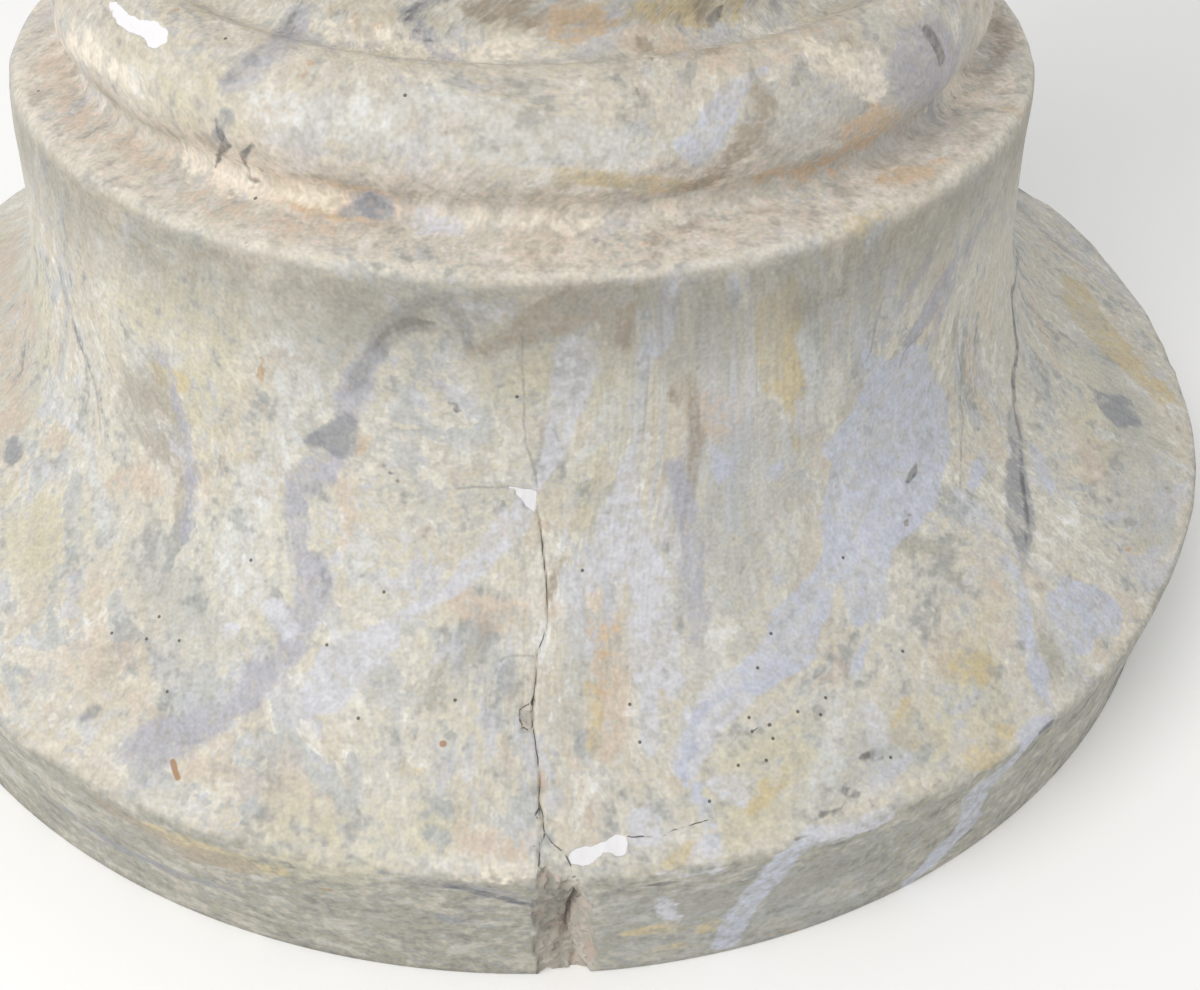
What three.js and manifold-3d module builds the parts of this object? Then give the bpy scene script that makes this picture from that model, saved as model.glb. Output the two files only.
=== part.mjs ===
import * as THREE from 'three';
import { ConvexGeometry } from 'three/addons/geometries/ConvexGeometry.js';
import { mergeVertices } from 'three/addons/utils/BufferGeometryUtils.js';
import Module from 'manifold-3d';

// Twisted column pedestal, cast in plaster as one piece: foot, twisted shaft and capital.
// Millimetres, +Z up, origin at the middle of the underside, the broken side of the rim facing -Y.

// Shaft
const shaftHeight = 677;
const shaftFootRadius = 86;
const shaftHeadRadius = 78;
const strandCount = 4;
const strandDepth = 17; // depth of the valleys between the strands
const strandLead = 520; // height of one full turn
const strandRunOut = 42; // height over which the strands rise out of the round shaft

// Foot: radii outwards from the shaft, heights up from the floor
const grooveWidth = 11; // groove round the shaft, out to the crown of the torus
const grooveDepth = 2.5;
const torusRound = 15; // radius of the section of the torus
const torusUndercut = 36; // degrees by which that section turns under
const coveRadius = 3; // small cove between ledge and torus
const ledgeWidth = 13.5; // from the widest reach of the torus to the ledge's edge
const ledgeRise = 1.2; // the ledge climbs this much towards the torus
const ledgeEase = 4; // size of its rounded edge
const flareWidth = 65.5; // from the ledge's edge out to the rim
const flareHeight = 94;
const flareNeckSlope = 84; // degrees above level under the ledge
const flareRimSlope = 30; // degrees above level at the rim
const flareNeckShare = 0.8; // part of its rise over which the neck keeps its slope
const flareRimShare = 0.9; // part of its run over which the skirt keeps its slope
const rimHeight = 40;
const rimLean = 1; // the rim is this much narrower at the floor
const rimTopEase = 3; // size of the worn upper edge
const rimFootEase = 1.2; // size of the worn lower edge

// Capital: radii outwards from the shaft, heights up from the shaft's head
const ringRound = 9; // radius of the section of the ring that ends the shaft
const ringWrap = 72; // degrees above and below level that the ring's section shows
const bellFillet = 4; // flat band between ring and bell
const bellStep = 4; // the bell's foot stands out this much from the shaft
const bellWidth = 68; // from the bell's foot out to the slab's edge
const bellHeight = 68;
const bellTopSlope = 32; // degrees above level under the slab
const bellFootShare = 0.5; // part of its rise over which the bell's foot stays upright
const bellTopShare = 0.45; // part of its run over which the bell keeps its upper slope
const slabHeight = 36;
const slabEase = 4; // size of the slab's worn edges

// Break in the front of the rim
const breakMiddle = 9; // to the right of the front
const breakWidth = 13; // at the floor
const breakTopWidth = 8; // at the rim's upper edge
const breakDepth = 6;

// Fineness of the facets
const facetsPerStrand = 12;
const shaftRowHeight = 17;
const flareFacets = 11;
const bellFacets = 9;
const bendStep = 18; // degrees of bend that one facet of a moulding takes

const stuccoColour = 0xc4bfae;
const stuccoRoughness = 0.7;

// Radii and levels that follow from the sizes above
const degree = Math.PI / 180;
const torusCentre = shaftFootRadius + grooveWidth;
const ledgeRadius = torusCentre + torusRound + ledgeWidth;
const rimTopRadius = ledgeRadius + flareWidth;
const rimFootRadius = rimTopRadius - rimLean;
const slabRadius = shaftHeadRadius + bellStep + bellWidth;
const ledgeLevel = rimHeight + flareHeight;
const coveLevel = ledgeLevel + ledgeRise;
const torusLevel = coveLevel + coveRadius + torusRound * Math.sin(torusUndercut * degree);
const shaftFoot = torusLevel + torusRound;
const shaftHead = shaftFoot + shaftHeight;
const filletLevel = shaftHead + 2 * ringRound;
const bellLevel = filletLevel + bellFillet;
const slabLevel = bellLevel + bellHeight;
const topLevel = slabLevel + slabHeight;
const columnCount = strandCount * facetsPerStrand;

const station = (radius, height) => new THREE.Vector2(radius, height);

// Points of a circular section from one angle to another, in degrees above level
function roundMoulding(centre, size, fromAngle, toAngle) {
  const steps = Math.ceil(Math.abs(toAngle - fromAngle) / bendStep);
  const points = [];
  for (let step = 0; step <= steps; step += 1) {
    const angle = THREE.MathUtils.lerp(fromAngle, toAngle, step / steps) * degree;
    points.push(station(centre.x + size * Math.cos(angle), centre.y + size * Math.sin(angle)));
  }
  return points;
}

// Points of a hollow curve from its steep end at the neck to its shallow end at the edge
function hollowCurve(neck, edge, shape) {
  const rise = edge.y - neck.y;
  const run = edge.x - neck.x;
  const neckHandle = station(
    neck.x + (Math.abs(rise) * shape.neckShare) / Math.tan(shape.neckSlope * degree),
    neck.y + rise * shape.neckShare,
  );
  const edgeHandle = station(
    edge.x - run * shape.edgeShare,
    edge.y - Math.sign(rise) * run * shape.edgeShare * Math.tan(shape.edgeSlope * degree),
  );
  return new THREE.CubicBezierCurve(neck, neckHandle, edgeHandle, edge).getPoints(shape.facets);
}

// The rim leans out a little and turns over a worn edge into the flare
function rimOutline() {
  return [
    station(rimFootRadius - rimFootEase, 0),
    station(rimFootRadius, rimFootEase),
    station(rimTopRadius, rimHeight - rimTopEase),
  ];
}

// The flare starts nearly level at the rim and ends nearly upright under the ledge
function flareOutline() {
  const shape = {
    neckSlope: flareNeckSlope,
    neckShare: flareNeckShare,
    edgeSlope: flareRimSlope,
    edgeShare: flareRimShare,
    facets: flareFacets,
  };
  const neck = station(ledgeRadius, ledgeLevel - ledgeEase);
  const edge = station(rimTopRadius - rimTopEase, rimHeight);
  return hollowCurve(neck, edge, shape).reverse();
}

// Over its rounded edge the ledge climbs to a small cove, and that turns up into the torus
function ledgeOutline() {
  const easeCentre = station(ledgeRadius - ledgeEase, ledgeLevel - ledgeEase);
  const torusFoot = torusCentre + torusRound * Math.cos(torusUndercut * degree);
  const coveCentre = station(torusFoot + coveRadius, coveLevel + coveRadius);
  return [
    ...roundMoulding(easeCentre, ledgeEase, 0, 90).slice(1),
    ...roundMoulding(coveCentre, coveRadius, -90, -180).slice(0, -1),
  ];
}

// The torus rolls over from its undercut to its crown, where the groove lies round the shaft
function torusOutline() {
  return [
    ...roundMoulding(station(torusCentre, torusLevel), torusRound, -torusUndercut, 90),
    station(torusCentre - 0.5 * grooveWidth, shaftFoot - grooveDepth),
  ];
}

// The shaft tapers evenly from foot to head
function shaftOutline() {
  const rows = Math.round(shaftHeight / shaftRowHeight);
  const points = [];
  for (let row = 0; row <= rows; row += 1) {
    const share = row / rows;
    const radius = THREE.MathUtils.lerp(shaftFootRadius, shaftHeadRadius, share);
    points.push(station(radius, shaftFoot + share * shaftHeight));
  }
  return points;
}

// A ring ends the shaft, and a bell opens over it to the slab
function capitalOutline() {
  const shape = {
    neckSlope: 90,
    neckShare: bellFootShare,
    edgeSlope: bellTopSlope,
    edgeShare: bellTopShare,
    facets: bellFacets,
  };
  const bellFootRadius = shaftHeadRadius + bellStep;
  return [
    ...roundMoulding(station(shaftHeadRadius, shaftHead + ringRound), ringRound, -ringWrap, ringWrap),
    station(bellFootRadius, filletLevel),
    ...hollowCurve(station(bellFootRadius, bellLevel), station(slabRadius - slabEase, slabLevel), shape),
    station(slabRadius, slabLevel + slabEase),
    ...roundMoulding(station(slabRadius - slabEase, topLevel - slabEase), slabEase, 0, 90),
  ];
}

// Angle by which the strands have turned at a height: they turn only along the shaft
const strandTurn = (height) =>
  (2 * Math.PI * THREE.MathUtils.clamp(height - shaftFoot, 0, shaftHeight)) / strandLead;

// How far the strands stand out at a height: not at the shaft's two ends, and in full between
const strandStrength = (height) =>
  THREE.MathUtils.smoothstep(height, shaftFoot, shaftFoot + strandRunOut) *
  (1 - THREE.MathUtils.smoothstep(height, shaftHead - strandRunOut, shaftHead));

// Full round strands with sharp valleys between them, as depth below the shaft's own radius
const valleyDepth = (column) =>
  strandDepth * (1 - Math.abs(Math.cos((Math.PI * column) / facetsPerStrand)));

// A closed skin: a ring of corners at each station, turned with the strands, and a flat cap at each end
function turnedSkin(stations) {
  const corners = [];
  for (const { x: radius, y: height } of stations) {
    for (let column = 0; column < columnCount; column += 1) {
      const angle = (2 * Math.PI * column) / columnCount + strandTurn(height);
      const reach = radius - strandStrength(height) * valleyDepth(column);
      corners.push(reach * Math.cos(angle), reach * Math.sin(angle), height);
    }
  }
  const lastRing = (stations.length - 1) * columnCount;
  const underCentre = stations.length * columnCount;
  const topCentre = underCentre + 1;
  corners.push(0, 0, stations[0].y, 0, 0, stations[stations.length - 1].y);
  const faces = [];
  for (let column = 0; column < columnCount; column += 1) {
    const next = (column + 1) % columnCount;
    faces.push(underCentre, next, column);
    faces.push(topCentre, lastRing + column, lastRing + next);
    for (let ring = 0; ring < lastRing; ring += columnCount) {
      const above = ring + columnCount;
      faces.push(ring + column, ring + next, above + column);
      faces.push(ring + next, above + next, above + column);
    }
  }
  const skin = new THREE.BufferGeometry();
  skin.setAttribute('position', new THREE.Float32BufferAttribute(corners, 3));
  skin.setIndex(faces);
  return skin;
}

// Tapering wedge that stands through the face of the rim, its sharp edge inside it
function breakWedge() {
  const levels = [
    [-rimFootEase, breakWidth],
    [rimHeight + rimTopEase, breakTopWidth],
  ];
  const corners = [];
  for (const [level, width] of levels) {
    corners.push(new THREE.Vector3(breakMiddle, breakDepth - rimTopRadius, level));
    corners.push(new THREE.Vector3(breakMiddle - width, -breakDepth - rimTopRadius, level));
    corners.push(new THREE.Vector3(breakMiddle + width, -breakDepth - rimTopRadius, level));
  }
  return new ConvexGeometry(corners);
}

const wasm = await Module();
wasm.setup();

// Closed solid of a geometry, with its shared corners merged
function solidOf(geometry) {
  const bare = geometry.clone();
  bare.deleteAttribute('normal');
  bare.deleteAttribute('uv');
  const merged = mergeVertices(bare);
  const mesh = new wasm.Mesh({
    numProp: 3,
    vertProperties: new Float32Array(merged.attributes.position.array),
    triVerts: new Uint32Array(merged.index.array),
  });
  return new wasm.Manifold(mesh);
}

function geometryOf(solid) {
  const mesh = solid.getMesh();
  const geometry = new THREE.BufferGeometry();
  geometry.setAttribute('position', new THREE.Float32BufferAttribute(mesh.vertProperties, 3));
  geometry.setIndex(Array.from(mesh.triVerts));
  geometry.computeVertexNormals();
  return geometry;
}

function stuccoMaterial() {
  return new THREE.MeshStandardMaterial({
    color: stuccoColour,
    roughness: stuccoRoughness,
    metalness: 0,
  });
}

function makePedestal() {
  const outline = [
    ...rimOutline(),
    ...flareOutline(),
    ...ledgeOutline(),
    ...torusOutline(),
    ...shaftOutline(),
    ...capitalOutline(),
  ];
  const whole = solidOf(turnedSkin(outline));
  const broken = whole.subtract(solidOf(breakWedge()));
  const pedestal = new THREE.Mesh(geometryOf(broken), stuccoMaterial());
  pedestal.name = 'pedestal';
  return pedestal;
}

const model = new THREE.Group();
model.add(makePedestal());

export default model;
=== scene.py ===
import math

import bpy
import numpy as np
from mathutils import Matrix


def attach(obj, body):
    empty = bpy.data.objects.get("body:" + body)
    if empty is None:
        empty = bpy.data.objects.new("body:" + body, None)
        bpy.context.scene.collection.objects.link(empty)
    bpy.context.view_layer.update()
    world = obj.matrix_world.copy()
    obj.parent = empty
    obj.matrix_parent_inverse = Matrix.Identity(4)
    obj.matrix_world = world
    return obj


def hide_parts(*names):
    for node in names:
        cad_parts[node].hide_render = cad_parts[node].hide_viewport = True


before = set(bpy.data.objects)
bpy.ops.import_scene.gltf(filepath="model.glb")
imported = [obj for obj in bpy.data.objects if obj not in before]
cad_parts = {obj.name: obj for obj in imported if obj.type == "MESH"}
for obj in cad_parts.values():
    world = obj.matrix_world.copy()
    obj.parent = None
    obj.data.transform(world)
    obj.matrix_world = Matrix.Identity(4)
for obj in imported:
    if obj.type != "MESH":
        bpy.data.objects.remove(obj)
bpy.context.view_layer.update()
print("frame loaded")

mm = 0.001
tau = 2 * np.pi
tiny = 1e-6

# What a user would change on the casting, in millimetres and degrees: its sizes are the solid's own
casting = {
    "shaftHeight": 677,
    "shaftFootRadius": 86,
    "shaftHeadRadius": 78,
    "strandCount": 4,
    "strandDepth": 17,
    "strandLead": 520,
    "strandRunOut": 42,
    "grooveWidth": 11,
    "grooveDepth": 2.5,
    "torusRound": 15,
    "torusUndercut": 36,
    "coveRadius": 3,
    "ledgeWidth": 13.5,
    "ledgeRise": 1.2,
    "ledgeEase": 4,
    "flareWidth": 65.5,
    "flareHeight": 94,
    "flareNeckSlope": 84,
    "flareRimSlope": 30,
    "flareNeckShare": 0.8,
    "flareRimShare": 0.9,
    "rimHeight": 40,
    "rimLean": 1,
    "rimTopEase": 3,
    "rimFootEase": 1.2,
    "ringRound": 9,
    "ringWrap": 72,
    "bellFillet": 4,
    "bellStep": 4,
    "bellWidth": 68,
    "bellHeight": 68,
    "bellTopSlope": 32,
    "bellFootShare": 0.5,
    "bellTopShare": 0.45,
    "slabHeight": 36,
    "slabEase": 4,
    "skinInset": 0.6,  # the cast skin lies this far inside the solid's widest reach
}

# Fineness of the cast skin, in millimetres along the outline and degrees round it
skinGrid = {
    "footStep": 1.6,
    "shaftStep": 13.5,
    "capitalStep": 4.6,
    "topStep": 9,
    "undersideStep": 26,
    "crackFrom": -0.8,
    "crackTo": 3.2,
    "crackStep": 0.13,
    "chipTo": 7.0,
    "chipStep": 0.22,
    "frontTo": 74,
    "frontStep": 0.68,
    "backStep": 3.2,
    "shaftFade": (4, 60),  # from the shaft's foot, where the rows widen
    "capitalFade": (-40, -6),  # from the shaft's head, where they narrow again
    "capFade": 60,  # from the edge of top and underside inwards
    "crackSpread": 0.2,  # growth of the columns' spacing with the angle from crack, chips and front
    "chipSpread": 0.09,
    "frontSpread": 0.06,
    "outlineSamples": 60000,
    "angleSamples": 72001,
}

# Where the photograph was taken from, in metres and degrees, and its frame in pixels
viewpoint = {
    "distance": 0.3218,
    "height": 0.2614,
    "pitch": 42.64,
    "focalPixels": 1280.7,
    "middleX": 522.8,
    "middleY": 495,
    "frameWidth": 1200,
}


def arcPoints(centreRadius, centreHeight, size, fromAngle, toAngle, steps=10):
    # Points at equal angles round a centre, angles in degrees above level
    angle = np.radians(np.linspace(fromAngle, toAngle, steps))
    return np.stack([centreRadius + size * np.cos(angle), centreHeight + size * np.sin(angle)], 1)


def hollowPoints(neck, edge, neckSlope, neckShare, edgeSlope, edgeShare, steps=90):
    # Cubic Bezier from a steep neck to a shallow edge: each handle keeps its end's slope
    neck, edge = np.array(neck, float), np.array(edge, float)
    run, rise = edge - neck
    neckHandle = neck + [abs(rise) * neckShare / math.tan(math.radians(neckSlope)), rise * neckShare]
    edgeDrop = np.sign(rise) * run * edgeShare * math.tan(math.radians(edgeSlope))
    edgeHandle = edge - [run * edgeShare, edgeDrop]
    t = np.linspace(0, 1, steps)[:, None]
    return ((1 - t) ** 3 * neck + 3 * (1 - t) ** 2 * t * neckHandle
            + 3 * (1 - t) * t ** 2 * edgeHandle + t ** 3 * edge)


def smooth(low, high, value):
    # Smooth step from 0 at low to 1 at high
    t = np.clip((value - low) / (high - low), 0, 1)
    return t * t * (3 - 2 * t)


def faded(middle, span, value):
    # Smooth step between two offsets from a middle value
    return smooth(middle + span[0], middle + span[1], value)


def castingLevels(c):
    # Radii and levels that follow from the driving sizes
    undercut = math.radians(c["torusUndercut"])
    torusCentre = c["shaftFootRadius"] + c["grooveWidth"]
    ledgeRadius = torusCentre + c["torusRound"] + c["ledgeWidth"]
    ledgeLevel = c["rimHeight"] + c["flareHeight"]
    coveLevel = ledgeLevel + c["ledgeRise"]
    torusLevel = coveLevel + c["coveRadius"] + c["torusRound"] * math.sin(undercut)
    shaftFoot = torusLevel + c["torusRound"]
    shaftHead = shaftFoot + c["shaftHeight"]
    filletLevel = shaftHead + 2 * c["ringRound"]
    slabLevel = filletLevel + c["bellFillet"] + c["bellHeight"]
    return {
        "torusCentre": torusCentre,
        "torusFoot": torusCentre + c["torusRound"] * math.cos(undercut),
        "ledgeRadius": ledgeRadius,
        "rimTopRadius": ledgeRadius + c["flareWidth"],
        "ledgeLevel": ledgeLevel,
        "coveLevel": coveLevel,
        "torusLevel": torusLevel,
        "shaftFoot": shaftFoot,
        "shaftHead": shaftHead,
        "filletLevel": filletLevel,
        "bellRadius": c["shaftHeadRadius"] + c["bellStep"],
        "slabRadius": c["shaftHeadRadius"] + c["bellStep"] + c["bellWidth"],
        "slabLevel": slabLevel,
        "topLevel": slabLevel + c["slabHeight"],
    }


level = castingLevels(casting)


def footOutline(c, k):
    # Up the rim, in over the flare, across the ledge and over the torus into the groove
    rimTop, rimFoot = k["rimTopRadius"], k["rimTopRadius"] - c["rimLean"]
    ease = c["ledgeEase"]
    cove = c["coveRadius"]
    flareEdge = (rimTop - c["rimTopEase"], c["rimHeight"])
    flareNeck = (k["ledgeRadius"], k["ledgeLevel"] - ease)
    flare = hollowPoints(flareNeck, flareEdge, c["flareNeckSlope"], c["flareNeckShare"],
                         c["flareRimSlope"], c["flareRimShare"])
    rimWear = arcPoints(rimTop - c["rimTopEase"], c["rimHeight"] - c["rimTopEase"], c["rimTopEase"], 0, 62)
    return np.vstack([
        [[0, 0], [rimFoot - c["rimFootEase"], 0]],
        arcPoints(rimFoot - c["rimFootEase"], c["rimFootEase"], c["rimFootEase"], -60, 0, 4),
        rimWear,
        flare[::-1][2:],
        arcPoints(k["ledgeRadius"] - ease, k["ledgeLevel"] - ease, ease, 8, 90),
        arcPoints(k["torusFoot"] + cove, k["coveLevel"] + cove, cove, -90, -175),
        arcPoints(k["torusCentre"], k["torusLevel"], c["torusRound"], -c["torusUndercut"], 90, 40),
        arcPoints(k["torusCentre"] - 0.5 * c["grooveWidth"], k["shaftFoot"] + 0.6 * c["grooveDepth"],
                  1.6 * c["grooveDepth"], -50, -130, 8),
    ])


def upperOutline(c, k):
    # Shaft, ring, bell and slab, and across the flat top to the axis
    slab, ease = k["slabRadius"], c["slabEase"]
    bell = hollowPoints((k["bellRadius"], k["filletLevel"] + c["bellFillet"]), (slab - ease, k["slabLevel"]),
                        90, c["bellFootShare"], c["bellTopSlope"], c["bellTopShare"])
    return np.vstack([
        [[c["shaftFootRadius"], k["shaftFoot"]], [c["shaftHeadRadius"], k["shaftHead"]]],
        arcPoints(c["shaftHeadRadius"], k["shaftHead"] + c["ringRound"], c["ringRound"],
                  -c["ringWrap"], c["ringWrap"], 20),
        [[k["bellRadius"], k["filletLevel"]]],
        bell,
        arcPoints(slab - ease, k["slabLevel"] + ease, ease, -60, 0, 6),
        arcPoints(slab - ease, k["topLevel"] - ease, ease, 0, 90, 8),
        [[0, k["topLevel"]]],
    ])


def resampled(outline, grid, k):
    # Rows at a spacing that depends on where the outline is: fine on the foot, wide on shaft and caps
    steps = np.hypot(*np.diff(outline, axis=0).T)
    along = np.concatenate([[0], np.cumsum(steps)])
    fine = np.linspace(0, along[-1], grid["outlineSamples"])
    radius = np.interp(fine, along, outline[:, 0])
    height = np.interp(fine, along, outline[:, 1])
    onShaft = faded(k["shaftFoot"], grid["shaftFade"], height)
    onCapital = faded(k["shaftHead"], grid["capitalFade"], height)
    spacing = grid["footStep"] + (grid["shaftStep"] - grid["footStep"]) * onShaft
    spacing += (grid["capitalStep"] - grid["shaftStep"]) * onCapital
    onCap = (height < tiny) | (height > k["topLevel"] - tiny)
    inCap = np.clip((k["rimTopRadius"] - radius) / grid["capFade"], 0, 1) * (height < 1)
    inCap += np.clip((k["slabRadius"] - radius) / grid["capFade"], 0, 1) * (height > k["topLevel"] - 1)
    capStep = np.where(height < 1, grid["undersideStep"], grid["topStep"])
    spacing = np.where(onCap, np.maximum(spacing, capStep * inCap), spacing)
    cost = np.concatenate([[0], np.cumsum(np.diff(fine) / spacing[1:])])
    rows = int(round(cost[-1]))
    picked = np.interp(np.linspace(0, cost[-1], rows + 1), cost, fine)
    return np.interp(picked, fine, radius), np.interp(picked, fine, height), picked


def columnAngles(grid):
    # Angles from the front, closer together round the crack and on the side that the photograph shows
    fine = np.linspace(-180, 180, grid["angleSamples"])
    fromCrack = np.maximum(np.maximum(grid["crackFrom"] - fine, fine - grid["crackTo"]), 0)
    fromChip = np.maximum(np.maximum(grid["crackFrom"] - fine, fine - grid["chipTo"]), 0)
    byChip = grid["chipStep"] + grid["chipSpread"] * fromChip
    byCrack = grid["crackStep"] + grid["crackSpread"] * fromCrack
    spacing = np.minimum(np.minimum(byChip, byCrack), grid["frontStep"])
    pastFront = np.maximum(np.abs(fine) - grid["frontTo"], 0)
    behind = np.minimum(grid["frontStep"] + grid["frontSpread"] * pastFront, grid["backStep"])
    spacing = np.where(pastFront > 0, behind, spacing)
    cost = np.concatenate([[0], np.cumsum(np.diff(fine) / spacing[1:])])
    count = int(round(cost[-1]))
    return np.radians(np.interp(np.arange(count) * cost[-1] / count, cost, fine))


def waves(points, size, seed, count=16):
    # Smooth noise: the mean of plane waves in random directions, their lengths near size
    random = np.random.default_rng(seed)
    ways = random.normal(size=(count, 3))
    ways /= np.linalg.norm(ways, axis=1)[:, None]
    lengths = size * random.uniform(0.65, 1.5, count)
    shifts = random.uniform(0, tau, count)
    total = np.zeros(points.shape[:-1])
    for way, length, shift in zip(ways, lengths, shifts):
        total += np.sin(tau * (points @ way) / length + shift)
    return total / math.sqrt(count / 2)


def layered(points, layers):
    # Sum of waves, each given by its height, length and seed
    return sum(height * waves(points, size, seed) for height, size, seed in layers)


def pixelOf(points, v):
    # Pinhole view: offset across and up the picture plane over the depth, times the focal length
    pitch = math.radians(v["pitch"])
    offset = points * mm - np.array([0, -v["distance"], v["height"]])
    depth = offset @ np.array([0, math.cos(pitch), -math.sin(pitch)])
    upward = offset @ np.array([0, math.sin(pitch), math.cos(pitch)])
    across = v["middleX"] + v["focalPixels"] * offset[..., 0] / depth
    down = v["middleY"] - v["focalPixels"] * upward / depth
    return np.stack([across, down], -1), depth


# Grid of the skin: rows along the outline, columns round it, angles measured from the front
outline = np.vstack([footOutline(casting, level), upperOutline(casting, level)])
rowRadius, rowHeight, rowAlong = resampled(outline, skinGrid, level)
columns = columnAngles(skinGrid)
strandTurn = tau * np.clip(rowHeight - level["shaftFoot"], 0, casting["shaftHeight"]) / casting["strandLead"]
strandRise = smooth(level["shaftFoot"], level["shaftFoot"] + casting["strandRunOut"], rowHeight)
strandRise *= 1 - smooth(level["shaftHead"] - casting["strandRunOut"], level["shaftHead"], rowHeight)
angle = columns[None, :] + strandTurn[:, None]
valley = 1 - np.abs(np.cos(0.5 * casting["strandCount"] * columns))
reach = rowRadius[:, None] - casting["strandDepth"] * strandRise[:, None] * valley[None, :]
height = np.repeat(rowHeight[:, None], len(columns), 1)
along = np.repeat(rowAlong[:, None], len(columns), 1)
fromFront = (angle + np.pi) % tau - np.pi


def placed(reach, angle, height):
    # Point at a reach from the axis, an angle from the front (-Y) towards +X, and a height
    return np.stack([reach * np.sin(angle), -reach * np.cos(angle), height], -1)


def gridNormals(points):
    # Cross product of the grid's two directions, which points outwards
    down = np.gradient(points, axis=0)
    side = np.roll(points, -1, 1) - np.roll(points, 1, 1)
    normal = np.cross(side, down)
    return normal / np.maximum(np.linalg.norm(normal, axis=-1, keepdims=True), 1e-9)


plain = placed(reach, angle, height)
normal = gridNormals(plain)
pixel, depth = pixelOf(plain, viewpoint)
toCamera = np.array([0, -viewpoint["distance"], viewpoint["height"]]) / mm - plain
facing = (normal * toCamera).sum(-1) / np.linalg.norm(toCamera, axis=-1)
footTop = level["shaftFoot"] + 30  # traced marks and damage end here
onFoot = (height > 0.5) & (height < footTop)
print("skin grid", plain.shape[:2], "triangles", 2 * plain.shape[0] * plain.shape[1])


# How a pixel is traced to the skin: weight of the depth beside the pixels' gap, least facing of a
# corner, and the furthest shift from it, in columns and in millimetres along the outline
tracing = {"depthShare": 0.02, "leastFacing": 0.04, "columns": 1.5, "along": 3}


def onSkin(path):
    # Angle from the front and place along the outline of each pixel of a path: nearest corner that
    # faces the camera, corrected by the slope of the grid there
    found = []
    for spot in np.array(path, float):
        gap = np.hypot(*np.moveaxis(pixel - spot, -1, 0)) + tracing["depthShare"] * depth / mm
        gap[(facing < tracing["leastFacing"]) | ~onFoot] = np.inf
        row, column = np.unravel_index(np.argmin(gap), gap.shape)
        row = min(max(row, 1), len(rowAlong) - 2)
        before, after = (column - 1) % len(columns), (column + 1) % len(columns)
        turn = (columns[after] - columns[before]) % tau
        slopes = np.stack([
            (pixel[row, after] - pixel[row, before]) / turn,
            (pixel[row + 1, column] - pixel[row - 1, column]) / (rowAlong[row + 1] - rowAlong[row - 1]),
        ], 1)
        shift = np.linalg.solve(slopes, spot - pixel[row, column])
        most = np.array([tracing["columns"] * turn, tracing["along"]])
        shift = np.clip(shift, -most, most)
        found.append([fromFront[row, column] + shift[0], rowAlong[row] + shift[1]])
    return np.array(found)


def offsetTo(path, widths=0.0):
    # Way across and along the skin from the nearest point of a path, its length, and that length less
    # the path's half width there
    widths = np.broadcast_to(np.array(widths, float), len(path))
    away = np.full(plain.shape[:2], 1e3)
    field = away.copy()
    way = np.zeros((*away.shape, 2))
    for (a, b), (wideA, wideB) in zip(zip(path[:-1], path[1:]), zip(widths[:-1], widths[1:])):
        start = np.stack([(fromFront - a[0]) * np.maximum(reach, 1), along - a[1]], -1)
        size = np.interp(0.5 * (a[1] + b[1]), rowAlong, rowRadius)
        bend = np.array([(b[0] - a[0]) * size, b[1] - a[1]])
        t = np.clip(start @ bend / max(bend @ bend, 1e-9), 0, 1)
        gap = start - t[..., None] * bend
        length = np.hypot(gap[..., 0], gap[..., 1])
        field = np.minimum(field, length - (wideA + t * (wideB - wideA)))
        closer = length < away
        away[closer] = length[closer]
        way[closer] = gap[closer]
    return way, away, field


def lineWay(paths):
    # The material measures thin lines from this: way to the nearest line, and plain distance as a guard
    best, guard = None, None
    for path in paths:
        way, away, _ = offsetTo(onSkin(path))
        if best is None:
            best, guard = way, away
        closer = away < guard
        best[closer] = way[closer]
        guard = np.minimum(guard, away)
    return np.clip(np.concatenate([best, guard[..., None]], -1), -30, 30)


def insideOf(shape):
    # Signed distance to a closed shape on the skin, negative inside it
    corners = onSkin(shape)
    loop = np.vstack([corners, corners[:1]])
    _, away, _ = offsetTo(loop)
    crossings = np.zeros(plain.shape[:2], int)
    for a, b in zip(loop[:-1], loop[1:]):
        between = (a[1] > along) != (b[1] > along)
        cut = a[0] + (along - a[1]) / (b[1] - a[1] + 1e-12) * (b[0] - a[0])
        crossings += between & (fromFront < cut)
    return away * np.where(crossings % 2 == 1, -1, 1)


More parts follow.
